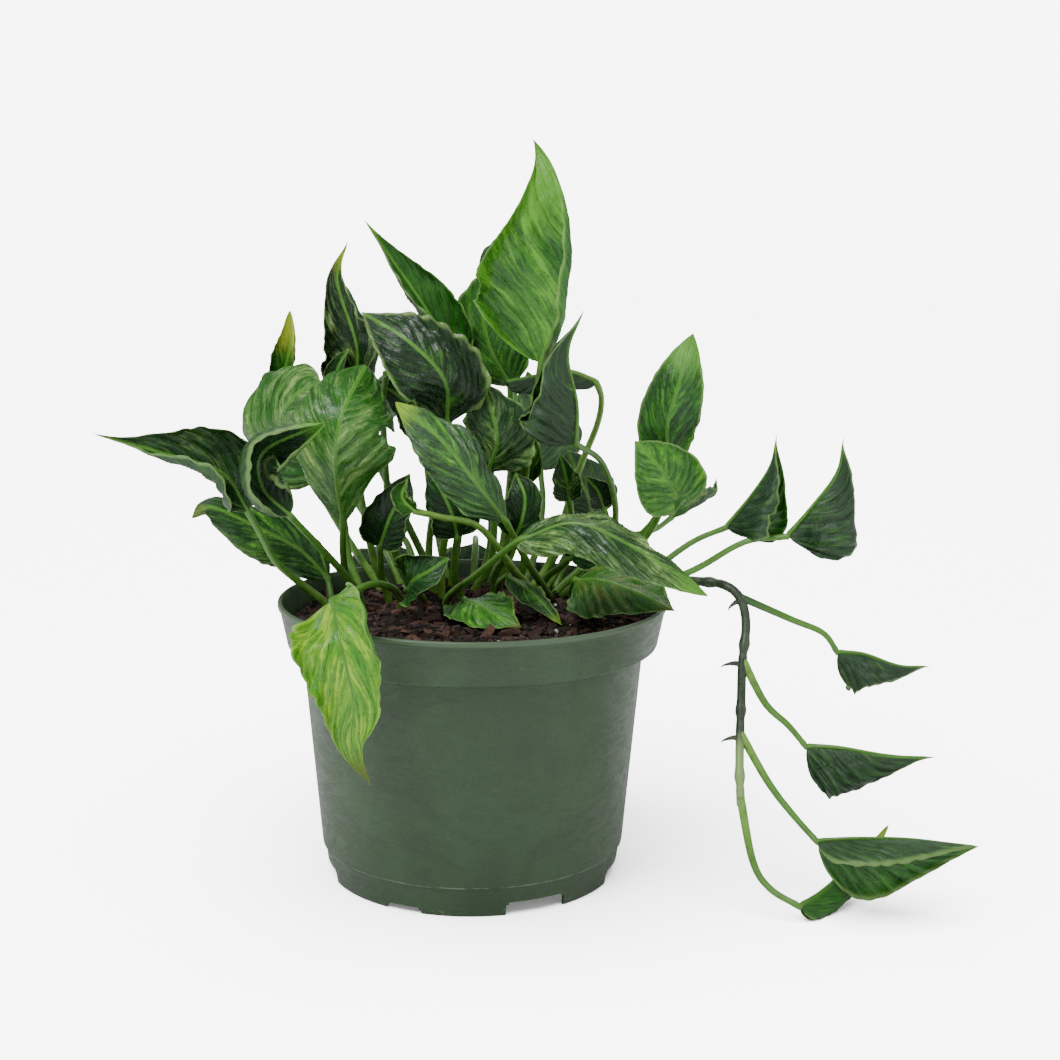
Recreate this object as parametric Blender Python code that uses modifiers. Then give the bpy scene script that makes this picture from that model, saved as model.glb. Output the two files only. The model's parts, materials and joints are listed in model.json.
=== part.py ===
"""A potted pothos: a ribless plastic nursery pot, its soil, and a crown of curled leaves.

Each leaf is one grown piece, a round stalk that widens into a thin folded blade.  Most
stalks stand in sockets in the soil.  One stem crosses the rim, hangs down beside the pot
and carries four leaves, the last of which lies on the surface that the pot stands on.

Lengths are in millimetres from the pot's axis at its foot; MM turns them into metres.
"""
import math
from collections import namedtuple

import bmesh
import bpy
import numpy as np
from mathutils import Matrix

MM = 0.001

# ---------------------------------------------------------------- driving dimensions, mm
POT_X = -26.0            # the pot's axis, so that the whole plant's box is centred on the origin
POT_Y = -20.0
POT_HEIGHT = 118.4
RIM_RADIUS = 82.5
BAND_BOTTOM = 99.2       # the wide band under the rim
BAND_RADIUS = 78.3
WALL_TOP_RADIUS = 72.5
STEP_HEIGHT = 12.5       # a small step above the skirt
STEP_RADIUS = 64.8
SKIRT_TOP_RADIUS = 63.7
FOOT_RADIUS = 62.1
WALL = 1.4
BASE_HEIGHT = 6.0        # underside of the floor, above the skirt's notches
POT_SEGMENTS = 56
NOTCH_COUNT = 7
NOTCH_FIRST = -65.5      # degrees from +X
NOTCH_SIZE = (26.0, 5.5)         # width round the skirt, height
SMALL_NOTCH_SIZE = (16.0, 2.4)   # the one that is moulded shallow
SMALL_NOTCH = 6
DRAIN_RADIUS = 5.0
DRAIN_RING = 44.0
DRAIN_COUNT = 7
SOIL_LEVEL = 108.0
SOIL_GAP = 0.3           # between soil and pot
SOIL_SEGMENTS = 40
SOIL_RIPPLE = 0.9
ROOT_DEPTH = 7.0
SOCKET_GAP = 0.4
BLADE_THICKNESS = 1.0
STALK_FOOT_RADIUS = 1.9
STALK_NECK_RADIUS = 1.3


Leaf = namedtuple(
    "Leaf", "stalk rib face width fold cup shoulder taper lobe left right fold_right",
    defaults=(20, 20, 0.6, 1.1, 0.0, 1.0, 1.0, None))

# Every leaf: the way its stalk runs, its midrib from blade base to tip, the direction the
# upper side faces, its flat width, and how it is folded and cupped.  A stalk whose first
# point is (x, y) stands in the soil there; the others start at the trailing stem.
LEAVES = {
    "leaf_far_left": Leaf(
        [(-62, 14), (-75, 12, 122), (-84, 6, 132), (-89, 0, 144)],
        [(-94, -6, 156), (-103, -14, 173), (-125, -22, 182), (-152, -28, 191)],
        (-0.1, -0.7, 0.65), 38, 30, 25, shoulder=0.95, taper=2.1),
    "leaf_left_low": Leaf(
        [(-62, 24)],
        [(-64, 29, 120), (-76, 28, 133), (-97, 22, 146), (-114, 18, 154), (-121, 16, 149)],
        (-0.1, -0.75, 0.6), 29, -8, -30, taper=0.9),
    "leaf_left_face": Leaf(
        [(-54, 36), (-56, 24, 124), (-56, 12, 137)],
        [(-55, 2, 149), (-57, -12, 174), (-54, -14, 197), (-45, 6, 216)],
        (-0.05, -1, 0.1), 62, -10, -30, shoulder=0.95, taper=0.66, left=0.8),
    "leaf_left_round": Leaf(
        [(-50, 43), (-56, 48, 126), (-59, 48, 147)],
        [(-67, 44, 163), (-79, 39, 174), (-84, 33, 189), (-76, 26, 202), (-65, 18, 207)],
        (-0.3, -0.85, 0.3), 47, -8, -12, taper=0.75),
    "leaf_left_curled": Leaf(
        [(-48, 18), (-53, 6, 124), (-64, -8, 141)],
        [(-75, -22, 157), (-86, -20, 168), (-85, -20, 183), (-59, -32, 196)],
        (0.45, -0.88, 0.1), 36, 25, 40, shoulder=0.55, taper=0.9),
    "leaf_yellow_tip": Leaf(
        [(-42, 53), (-58, 60, 133), (-80, 62, 173)],
        [(-85, 58, 196), (-84, 55, 209), (-81, 54, 223), (-81, 52, 236)],
        (-0.3, -0.9, 0), 17, 35, 10, taper=0.9),
    "leaf_hooked": Leaf(
        [(-18, 44), (-19, 44, 119), (-30, 40, 144), (-45, 38, 176)],
        [(-53, 34, 197), (-50, 28, 221), (-58, 26, 250), (-53, 19, 267)],
        (-0.35, -0.9, 0), 33, 22, 15, shoulder=0.6, taper=1.7),
    "leaf_small_point": Leaf(
        [(-36, 40), (-44, 36, 127), (-53, 30, 177)],
        [(-60, 24, 203), (-58, 20, 213), (-53, 18, 222)],
        (-0.2, -0.9, 0.3), 11, 20, 10),
    "leaf_small_curl": Leaf(
        [(-28, 50), (-36, 40, 135), (-39, 25, 191)],
        [(-37, 14, 212), (-32, 9, 216), (-26, 5, 223)],
        (0, -0.8, 0.6), 14, 20, 10),
    "leaf_small_left": Leaf(
        [(30, 30), (18, 10, 127), (3, -12, 150), (-14, -20, 156)],
        [(-24, -24, 159), (-29, -24, 165), (-27, -22, 172)],
        (-0.2, -0.9, 0.2), 14, 30, 30),
    "leaf_tall_folded": Leaf(
        [(-10, 60), (-7, 56, 132), (0, 40, 185)],
        [(-5, 30, 211), (-19, 26, 236), (-34, 24, 258), (-46, 20, 276)],
        (0.5, -0.8, 0.3), 29, 28, 10, shoulder=0.7, taper=1.6),
    "leaf_centre_dark": Leaf(
        [(-14, 36), (-14, 34, 127), (-9, 22, 163)],
        [(-11, 8, 191), (-12, -6, 211), (-27, -5, 227), (-47, 8, 238)],
        (0.1, -0.85, 0.5), 40, -8, -14),
    "leaf_centre_shade": Leaf(
        [(-20, 57), (-20, 58, 132), (-15, 48, 167)],
        [(-15, 38, 181), (-24, 33, 193), (-34, 29, 202), (-43, 27, 207)],
        (0, -0.9, 0.3), 26, 10, 10),
    "leaf_behind_centre": Leaf(
        [(2, 62), (8, 62, 131), (7, 58, 183)],
        [(2, 54, 210), (-3, 52, 221), (-8, 50, 231)],
        (-0.2, -0.9, 0.3), 28, 20, 15),
    "leaf_top_second": Leaf(
        [(14, 64), (15, 60, 122), (17, 46, 171)],
        [(16, 32, 205), (7, 28, 222), (4, 28, 241), (11, 30, 259)],
        (-0.35, -0.9, 0.1), 34, -10, -20),
    "leaf_tall_top": Leaf(
        [(10, 50), (19, 44, 135), (24, 24, 178)],
        [(28, 2, 217), (36, -6, 244), (37, -8, 274), (32, -4, 296), (24, 4, 309)],
        (-0.5, -0.85, 0), 79, 15, 22, shoulder=0.62, taper=1.4, right=0.43, fold_right=45),
    "leaf_centre_up": Leaf(
        [(33, 34), (33, 24, 114), (23, -6, 134)],
        [(13, -36, 157), (1, -44, 174), (-13, -42, 191), (-31, -36, 205)],
        (0.1, -0.9, 0.45), 29, -12, -25, shoulder=0.7, taper=0.9),
    "leaf_centre_hang": Leaf(
        [(0, 46), (8, 40, 126), (9, 30, 155)],
        [(6, 18, 169), (10, 8, 184), (7, 8, 199), (3, 14, 209)],
        (0, -1, 0.1), 34, -15, -25),
    "leaf_narrow_dark": Leaf(
        [(20, 56), (23, 50, 124), (22, 44, 146)],
        [(22, 38, 160), (20, 32, 176), (17, 29, 188), (15, 28, 196)],
        (0.3, -0.9, 0), 20, 20, 10),
    "leaf_cupped_dark": Leaf(
        [(40, 40), (58, 34, 127), (62, 24, 151), (55, 10, 174)],
        [(42, -8, 185), (42, -13, 202), (38, -20, 223), (44, -24, 241)],
        (-0.95, -0.25, 0.1), 50, 62, 20, shoulder=0.5, taper=2.0),
    "leaf_rolled": Leaf(
        [(26, 53), (35, 54, 123), (47, 54, 163), (55, 44, 187), (56, 36, 200)],
        [(53, 30, 207), (41, 24, 212), (28, 18, 211), (14, 12, 209)],
        (0, 0.3, -1), 19, 45, 55, shoulder=0.4, taper=0.3),
    "leaf_small_centre": Leaf(
        [(32, 48), (42, 51, 126), (44, 46, 143)],
        [(43, 42, 153), (41, 38, 164), (38, 36, 175)],
        (-0.1, -1, 0), 18, 25, 10),
    "leaf_small_right": Leaf(
        [(37, 45), (50, 49, 122), (60, 54, 137)],
        [(59, 52, 148), (56, 50, 156), (50, 48, 163)],
        (0, -1, 0.2), 16, 25, 10),
    "leaf_right_upright": Leaf(
        [(50, 42), (60, 40, 124), (80, 32, 146)],
        [(86, 22, 170), (83, 16, 188), (88, 16, 209), (94, 22, 229)],
        (-0.1, -1, 0), 26, -12, -20, taper=0.9),
    "leaf_right_arrow": Leaf(
        [(46, 28), (62, 24, 122), (76, 10, 145), (80, -1, 157)],
        [(85, -6, 163), (81, -9, 170), (75, -10, 178), (67, -6, 186)],
        (0.0, -1, 0.1), 30, 5, -10, shoulder=0.4, taper=1.1, lobe=0.5),
    "leaf_right_hood": Leaf(
        [(54, 10), (70, 5, 123), (92, 1, 141)],
        [(107, -4, 149), (117, -6, 163), (124, -8, 176), (126, -10, 189)],
        (0.72, -0.5, -0.45), 45, 42, 20, taper=2.1),
    "leaf_right_outer": Leaf(
        [(60, 2), (76, -3, 122), (95, -10, 133), (113, -16, 145)],
        [(130, -20, 148), (139, -22, 160), (149, -22, 175), (151, -24, 190)],
        (0.85, -0.12, -0.5), 50, 58, 15, taper=2.1),
    "leaf_front_long": Leaf(
        [(-12, 20), (-9, 8, 118), (1, -18, 131), (13, -40, 146)],
        [(19, -48, 152), (40, -56, 160), (65, -62, 150), (92, -62, 132)],
        (0.15, -0.6, 0.8), 29, -10, -20, shoulder=0.5, taper=0.9, lobe=0.2),
    "leaf_front_striped": Leaf(
        [(0, 16), (-3, 7, 115)],
        [(-4, -2, 117.5), (1, -13, 118.5), (9, -23, 116), (20, -31, 112)],
        (0, -0.45, 1), 30, -10, -10, taper=1.2),
    "leaf_front_olive": Leaf(
        [(44, 10), (42, 2, 120)],
        [(43, -7, 127), (53, -16, 129), (68, -28, 126), (82, -40, 121)],
        (0.1, -0.6, 0.8), 40, -12, -18, shoulder=0.6, taper=1.3),
    "leaf_front_narrow": Leaf(
        [(12, 26), (11, 12, 121)],
        [(15, 2, 127), (26, -10, 121), (37, -22, 111)],
        (0.3, -0.5, 0.8), 15, -25, 5),
    "leaf_over_rim": Leaf(
        [(-30, 8), (-33, -2, 121), (-40, -30, 130), (-48, -56, 132)],
        [(-54, -70, 132), (-50, -88, 121), (-45, -90, 98), (-46, -86, 79), (-39, -84, 62)],
        (-0.3, -0.95, 0.05), 38, 5, 12, shoulder=0.5, taper=1.4),
    "vine_leaf_1": Leaf(
        [(117, -8, 118), (134, -12, 111), (147, -16, 106)],
        [(153, -18, 98), (164, -20, 97.5), (178, -22, 93.5), (191, -24, 93.5)],
        (0, -0.3, -0.95), 36, 46, 25, shoulder=0.45, taper=1.7),
    "vine_leaf_2": Leaf(
        [(116.9, -17.9, 91.2), (122, -24, 78), (131, -30, 70)],
        [(138, -34, 62), (151, -38, 62.5), (170, -43, 61), (189, -46, 61)],
        (0, 0.05, -1), 43, 60, 12, shoulder=0.5, taper=1.8),
    "vine_leaf_3": Leaf(
        [(114.7, -29.6, 62.6), (122, -38, 48), (131, -46, 37)],
        [(140, -54, 28), (155, -57, 30), (177, -60, 31), (204, -63, 29)],
        (0, -0.6, -0.8), 56, 38, 22, shoulder=0.5, taper=1.2, left=0.64, right=0.94),
    "vine_leaf_4": Leaf(
        [(109.6, -44.8, 39.4), (114, -54, 20), (120, -61, 11)],
        [(131, -68, 6), (142, -58, 8), (158, -41, 14), (176, -26, 25)],
        (0.55, -0.1, -0.8), 21, 60, 35, shoulder=0.35, taper=0.9),
    "leaf_inner_left": Leaf(
        [(-37, 27), (-40, 22, 122), (-40, 14, 132)],
        [(-40, 9, 138), (-36, 4, 150), (-31, 4, 161), (-27, 8, 170)],
        (-0.1, -0.95, 0.2), 26, 20, 15),
    "leaf_inner_low": Leaf(
        [(-21, 21), (-23, 12, 116), (-26, 2, 119)],
        [(-28, -4, 122), (-25, -13, 128), (-18, -17, 133), (-10, -15, 138)],
        (0.1, -0.8, 0.5), 24, 10, 10),
    "leaf_inner_middle": Leaf(
        [(-5, 29), (-8, 22, 122), (-8, 16, 134)],
        [(-7, 12, 142), (-9, 8, 152), (-14, 8, 163), (-20, 12, 171)],
        (0.1, -0.95, 0.2), 27, 18, 12),
    "leaf_inner_shade": Leaf(
        [(9, 38), (10, 30, 122), (15, 20, 133)],
        [(18, 15, 141), (21, 11, 150), (22, 12, 160), (18, 18, 169)],
        (-0.2, -0.95, 0.1), 24, 20, 12),
    "leaf_inner_right": Leaf(
        [(29, 40), (33, 33, 120), (38, 24, 126)],
        [(42, 19, 131), (47, 15, 138), (53, 14, 145), (58, 17, 153)],
        (0.1, -0.9, 0.4), 26, 15, 10),
    "leaf_back_left": Leaf(
        [(-33, 59), (-42, 70, 128), (-53, 84, 142)],
        [(-61, 94, 150), (-74, 106, 160), (-91, 112, 165), (-102, 114, 160)],
        (-0.3, 0.5, 0.8), 44, 20, 25),
    "leaf_back_low_left": Leaf(
        [(-25, 63), (-31, 77, 127), (-38, 88, 129)],
        [(-40, 97, 124), (-46, 108, 110), (-52, 112, 86), (-56, 112, 62)],
        (-0.3, 0.9, 0.3), 40, -10, -20),
    "leaf_back_tall": Leaf(
        [(8, 68), (14, 76, 128), (19, 88, 184)],
        [(18, 86, 226), (17, 84, 244), (20, 82, 265), (26, 84, 283)],
        (0.1, 0.98, 0.1), 44, 20, 20),
    "leaf_back_mid": Leaf(
        [(-12, 66), (-16, 78, 128), (-21, 92, 152)],
        [(-23, 98, 168), (-29, 108, 179), (-37, 122, 187), (-44, 138, 175)],
        (-0.1, 0.6, 0.8), 44, 20, 20),
    "leaf_back_centre": Leaf(
        [(24, 64), (30, 76, 126), (33, 92, 144)],
        [(32, 100, 158), (31, 112, 176), (28, 120, 192), (26, 120, 204)],
        (0.2, 0.9, 0.35), 46, 22, 20),
    "leaf_back_right": Leaf(
        [(46, 51), (58, 60, 130), (82, 69, 134)],
        [(93, 78, 139), (100, 89, 145), (107, 102, 147), (113, 114, 141)],
        (0.3, 0.1, 0.95), 36, 20, 25),
    "leaf_back_low_right": Leaf(
        [(38, 57), (48, 68, 128), (60, 82, 129)],
        [(65, 90, 123), (72, 97, 112), (80, 100, 94), (86, 100, 70)],
        (0.5, 0.8, 0.3), 40, -10, -20),
    "leaf_back_drop": Leaf(
        [(0, 68), (1, 78, 124), (1, 90, 127)],
        [(1, 98, 123), (0, 107, 112), (0, 108, 90), (2, 106, 64)],
        (0, 1, 0.25), 38, -10, -15),
    "leaf_back_upright": Leaf(
        [(31, 61), (42, 70, 128), (55, 78, 134)],
        [(56, 80, 140), (54, 84, 148), (48, 88, 160), (44, 86, 170)],
        (0.1, 0.95, 0.2), 34, 20, 20),
}

# The trailing stem leaves the soil, crosses the rim and hangs in front of the pot's right.
VINE = [(62, 20), (64, 19, 116), (72, 16, 122), (86, 12, 123), (98, 4, 124), (107, -4, 124),
        (113, -8, 119), (115, -12, 109), (113, -18, 94), (112, -24, 79), (111, -30, 65),
        (110, -38, 53), (110, -44, 40)]
VINE_RADIUS = 2.1
VINE_STATIONS = 30
# Root stubs at the stem's nodes: from the stem's middle to the stub's tip.
STUBS = [((113, -8, 118), (108, -11, 116)), ((113, -18, 93), (105, -19, 93)),
         ((111.5, -30, 64.5), (104, -31, 64))]

STALK_STATIONS = 6
BLADE_STATIONS = (0.0, 0.035, 0.11, 0.22, 0.36, 0.52, 0.68, 0.83, 0.94, 1.0)
RING_ACROSS = (-1, -0.55, 0, 0.55, 1, 0.55, 0, -0.55)
RING_SIDE = (0, 1, 1, 1, 0, -1, -1, -1)


def unit(vector):
    vector = np.asarray(vector, float)
    return vector / (np.linalg.norm(vector) + 1e-12)


def rooted(path):
    """A path whose first point is (x, y) starts upright in the soil."""
    if len(path[0]) == 3:
        return list(path)
    x, y = path[0]
    return [(x, y, SOIL_LEVEL - ROOT_DEPTH), (x, y, SOIL_LEVEL + 2)] + list(path[1:])


def smooth_path(points, count):
    """Evenly spaced points along a smooth curve through a few set ones."""
    knots = [np.asarray(p, float) for p in points]
    if len(knots) == 2:
        knots.insert(1, (knots[0] + knots[1]) / 2)
    knots = [2 * knots[0] - knots[1]] + knots + [2 * knots[-1] - knots[-2]]
    dense = []
    for a, b, c, d in zip(knots, knots[1:], knots[2:], knots[3:]):
        for t in np.arange(12) / 12:
            dense.append(0.5 * (2 * b + (c - a) * t + (2 * a - 5 * b + 4 * c - d) * t ** 2
                                + (3 * b - a - 3 * c + d) * t ** 3))
    dense = np.array(dense + [knots[-2]])
    length = np.r_[0, np.cumsum(np.linalg.norm(np.diff(dense, axis=0), axis=1))]
    at = np.linspace(0, length[-1], count + 1)
    return np.stack([np.interp(at, length, dense[:, k]) for k in range(3)], -1)


def directions(path):
    run = np.gradient(path, axis=0)
    return run / np.linalg.norm(run, axis=1)[:, None]


def half_width(leaf, u):
    """Share of the full half width: a round shoulder, then a long point."""
    peak = leaf.shoulder / (leaf.shoulder + leaf.taper)
    shape = u ** leaf.shoulder * (1 - u) ** leaf.taper
    return shape / (peak ** leaf.shoulder * (1 - peak) ** leaf.taper)


def blade_frames(leaf, stations):
    """Midrib point, direction, sideways and upper-side direction, and bend at each station."""
    rib = smooth_path(leaf.rib, 60)
    run = directions(rib)
    step = np.linalg.norm(rib[1] - rib[0])
    bend = np.gradient(run, axis=0) / step
    bend = np.array([bend[max(0, i - 4):i + 5].mean(axis=0) for i in range(61)])
    frames = []
    for u in stations:
        i = min(int(u * 60), 59)
        part = u * 60 - i
        point = rib[i] * (1 - part) + rib[i + 1] * part
        along = unit(run[i] * (1 - part) + run[i + 1] * part)
        side = unit(np.cross(along, unit(leaf.face)))
        frames.append((point, along, side, np.cross(side, along), bend[i]))
    return frames


def blade_point(leaf, frame, u, v, lift=0.0):
    """A point near the blade's sheet: u from base to tip, v from left edge to right."""
    point, along, side, up, bend = frame
    share = abs(v)
    right = v >= 0
    width = leaf.width / 2 * half_width(leaf, u) * (leaf.right if right else leaf.left)
    fold = math.radians(leaf.fold_right if right and leaf.fold_right is not None else leaf.fold)
    cup = math.radians(leaf.cup)
    out = (math.sin(fold + cup * share) - math.sin(fold)) / cup
    rise = (math.cos(fold) - math.cos(fold + cup * share)) / cup
    offset = side * math.copysign(out * width, v) + up * rise * width
    crowding = float(np.dot(offset, bend))
    if crowding > 0.3:      # inside a tight bend the blade is gathered, and never crosses itself
        offset *= (0.6 - 0.3 * math.exp((0.3 - crowding) / 0.3)) / crowding
    lean = fold + cup * share
    if share < 0.01:
        offset += up * lift / max(math.cos(lean), 0.6)
    else:
        offset += (up * math.cos(lean) - side * math.copysign(math.sin(lean), v)) * lift
    back = leaf.lobe * leaf.width / 2 * share ** 1.6 * max(0, 1 - u / 0.45) ** 1.5
    return point + offset - along * back


def round_ring(centre, side, up, radius):
    turn = [j * math.pi / 4 for j in range(8)]
    return [centre - side * math.cos(a) * radius + up * math.sin(a) * radius for a in turn]


def leaf_rings(leaf, extra=0.0):
    """Rings of eight points from the stalk's foot to the blade's tip."""
    frames = blade_frames(leaf, BLADE_STATIONS)
    path = smooth_path(rooted(leaf.stalk) + [leaf.rib[0]], STALK_STATIONS)
    run = directions(path)
    rings = []
    side = frames[0][2]
    for i in range(STALK_STATIONS, -1, -1):
        side = unit(side - run[i] * np.dot(side, run[i]))
        radius = STALK_FOOT_RADIUS + (STALK_NECK_RADIUS - STALK_FOOT_RADIUS) * i / STALK_STATIONS
        along = unit(run[i] + frames[0][1]) if i == STALK_STATIONS else run[i]
        across = unit(side - along * np.dot(side, along))
        rings.insert(0, round_ring(path[i], across, np.cross(across, along), radius + extra))
    for u, frame in zip(BLADE_STATIONS[1:-1], frames[1:-1]):
        half = min(BLADE_THICKNESS * (1 - 0.35 * u) / 2, leaf.width * half_width(leaf, u) / 12)
        ring = []
        for v, layer in zip(RING_ACROSS, RING_SIDE):
            ridge = STALK_NECK_RADIUS * 0.9 * (1 - u) if v == 0 and layer < 0 else 0
            ring.append(blade_point(leaf, frame, u, v, layer * max(half, ridge)))
        rings.append(ring)
    tip, along, side, up = frames[-1][:4]
    rings.append([tip + side * v * 0.35 + up * layer * 0.3 for v, layer in zip(RING_ACROSS, RING_SIDE)])
    rings = np.array(rings)
    rings[..., 2] = np.maximum(rings[..., 2], 0)
    return rings


# ---------------------------------------------------------------- Blender helpers
def clear_scene():
    for old in list(bpy.data.objects):
        bpy.data.objects.remove(old, do_unlink=True)


def new_collection(name):
    collection = bpy.data.collections.new(name)
    bpy.context.scene.collection.children.link(collection)
    return collection


def material(name, colour, roughness):
    mat = bpy.data.materials.new(name)
    mat.use_nodes = True
    shader = mat.node_tree.nodes["Principled BSDF"]
    shader.inputs["Base Color"].default_value = (*colour, 1)
    shader.inputs["Roughness"].default_value = roughness
    shader.inputs["Metallic"].default_value = 0
    return mat


def add_object(name, mesh, collection, parent, mat=None):
    obj = bpy.data.objects.new(name, mesh)
    collection.objects.link(obj)
    obj.parent = parent
    if mat:
        mesh.materials.append(mat)
    return obj


def rings_mesh(name, rings):
    """A closed loft through rings of eight points, in metres."""
    mesh = bpy.data.meshes.new(name)
    bm = bmesh.new()
    rows = [[bm.verts.new(point * MM) for point in ring] for ring in rings]
    for low, high in zip(rows, rows[1:]):
        for j in range(8):          # both sides of a blade are split the same way
            k = (j + 1) % 8
            if j < 4:
                bm.faces.new((low[j], low[k], high[k]))
                bm.faces.new((low[j], high[k], high[j]))
            else:
                bm.faces.new((low[j], low[k], high[j]))
                bm.faces.new((low[k], high[k], high[j]))
    bm.faces.new(reversed(rows[0]))
    bm.faces.new(rows[-1])
    bm.to_mesh(mesh)
    bm.free()
    mesh.shade_smooth()
    return mesh


def turned(name, profile, segments, collection, parent, mat):
    """A profile of (radius, height) points turned round the Z axis."""
    mesh = bpy.data.meshes.new(name)
    points = [(r * MM, 0, z * MM) for r, z in profile]
    mesh.from_pydata(points, [(i, i + 1) for i in range(len(points) - 1)], [])
    obj = add_object(name, mesh, collection, parent, mat)
    screw = obj.modifiers.new("turn", "SCREW")
    screw.angle = math.tau
    screw.steps = segments
    screw.render_steps = segments
    screw.use_merge_vertices = True
    screw.merge_threshold = 0.00001
    return obj


def cut_with(obj, cutters):
    """Cut every object of a collection out of obj."""
    cut = obj.modifiers.new("cut", "BOOLEAN")
    cut.operation = "DIFFERENCE"
    cut.solver = "EXACT"
    cut.operand_type = "COLLECTION"
    cut.collection = cutters


def add_cutter(name, mesh, cutters, parent, matrix=None):
    cutter = add_object(name, mesh, cutters, parent)
    cutter.hide_render = True
    cutter.display_type = "WIRE"
    if matrix:
        cutter.matrix_local = matrix
    return cutter


# ---------------------------------------------------------------- the pieces
def make_pot(collection, parent):
    floor = BASE_HEIGHT + 1.5
    inner_ledge = BAND_BOTTOM + WALL
    profile = [
        (0, floor),
        (SKIRT_TOP_RADIUS - WALL, floor),
        (WALL_TOP_RADIUS - WALL, inner_ledge),
        (BAND_RADIUS - WALL + 0.3, inner_ledge),
        (RIM_RADIUS - 1.9, POT_HEIGHT),
        (RIM_RADIUS - 0.6, POT_HEIGHT),
        (RIM_RADIUS, POT_HEIGHT - 0.6),
        (RIM_RADIUS, POT_HEIGHT - 2.2),
        (RIM_RADIUS - 0.7, POT_HEIGHT - 2.8),
        (BAND_RADIUS, BAND_BOTTOM + 0.6),
        (BAND_RADIUS - 0.6, BAND_BOTTOM),
        (WALL_TOP_RADIUS + 0.6, BAND_BOTTOM),
        (WALL_TOP_RADIUS, BAND_BOTTOM - 0.6),
        (STEP_RADIUS, STEP_HEIGHT + 0.4),
        (SKIRT_TOP_RADIUS, STEP_HEIGHT),
        (FOOT_RADIUS, 0),
        (FOOT_RADIUS - WALL, 0),
        (FOOT_RADIUS - WALL + 0.7, BASE_HEIGHT),
        (0, BASE_HEIGHT),
    ]
    pot = turned("pot", profile, POT_SEGMENTS, collection, parent,
                 material("pot_plastic", (0.035, 0.075, 0.035), 0.5))
    cutters = new_collection("pot_cutters")
    for i in range(NOTCH_COUNT):
        turn = Matrix.Rotation(math.radians(NOTCH_FIRST) + i * math.tau / NOTCH_COUNT, 4, "Z")
        width, height = SMALL_NOTCH_SIZE if i == SMALL_NOTCH else NOTCH_SIZE
        add_cutter(f"notch_{i + 1}", box_mesh((8 * MM, width * MM, 2 * height * MM)), cutters, parent,
                   turn @ Matrix.Translation((FOOT_RADIUS * MM, 0, 0)))
    for i in range(DRAIN_COUNT):
        turn = Matrix.Rotation((i + 0.5) * math.tau / DRAIN_COUNT, 4, "Z")
        add_cutter(f"drain_{i + 1}", disc_mesh(DRAIN_RADIUS * MM, 6 * MM), cutters, parent,
                   turn @ Matrix.Translation((DRAIN_RING * MM, 0, (BASE_HEIGHT + 0.75) * MM)))
    cut_with(pot, cutters)
    return pot


def box_mesh(size):
    mesh = bpy.data.meshes.new("box")
    bm = bmesh.new()
    bmesh.ops.create_cube(bm, size=1, matrix=Matrix.Diagonal((*size, 1)))
    bm.to_mesh(mesh)
    bm.free()
    return mesh


def disc_mesh(radius, depth):
    mesh = bpy.data.meshes.new("disc")
    bm = bmesh.new()
    bmesh.ops.create_cone(bm, cap_ends=True, segments=16, radius1=radius, radius2=radius, depth=depth)
    bm.to_mesh(mesh)
    bm.free()
    return mesh


def soil_ripple(x, y):
    """Low mounds on the soil's top, in millimetres."""
    return SOIL_RIPPLE * (math.sin(x / 9 + 1) * math.cos(y / 11) + 0.5 * math.sin(x / 5 - y / 6))


def make_soil(collection, parent, rooted_pieces):
    floor = BASE_HEIGHT + 1.5 + SOIL_GAP
    ledge = BAND_BOTTOM + WALL + SOIL_GAP
    band = BAND_RADIUS - WALL
    edge = SOIL_LEVEL - 1
    profile = [(0, SOIL_LEVEL)] + [(r, SOIL_LEVEL) for r in (14, 28, 42, 56, 68)]
    profile += [(band + 0.8, edge), (band - 0.1, ledge), (WALL_TOP_RADIUS - WALL - SOIL_GAP, ledge),
                (SKIRT_TOP_RADIUS - WALL - SOIL_GAP, floor), (0, floor)]
    turned_soil = turned("soil_blank", profile, SOIL_SEGMENTS, collection, parent, None)
    bpy.context.view_layer.update()
    evaluated = turned_soil.evaluated_get(bpy.context.evaluated_depsgraph_get())
    mesh = bpy.data.meshes.new_from_object(evaluated)
    bpy.data.objects.remove(turned_soil, do_unlink=True)
    for vertex in mesh.vertices:
        if vertex.co.z > (SOIL_LEVEL - 0.5) * MM:
            vertex.co.z += soil_ripple(vertex.co.x / MM, vertex.co.y / MM) * MM
    mesh.name = "soil"
    soil = add_object("soil", mesh, collection, parent, material("soil_peat", (0.025, 0.016, 0.011), 0.95))
    cutters = new_collection("soil_sockets")
    for name, rings in rooted_pieces:
        clear = next(i for i, ring in enumerate(rings) if min(point[2] for point in ring) > SOIL_LEVEL + 4)
        foot = np.array(rings[:clear + 1])
        foot[0, :, 2] -= SOCKET_GAP
        add_cutter(f"socket_{name}", rings_mesh(f"socket_{name}", foot), cutters, parent)
    cut_with(soil, cutters)
    return soil


def vine_rings(extra=0.0):
    path = smooth_path(rooted(VINE), VINE_STATIONS)
    run = directions(path)
    side = unit(np.cross(run[0], (0, 1, 0.2)))
    rings = []
    for point, along in zip(path, run):
        side = unit(side - along * np.dot(side, along))
        rings.append(round_ring(point, side, np.cross(side, along), VINE_RADIUS + extra))
    return rings


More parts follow.
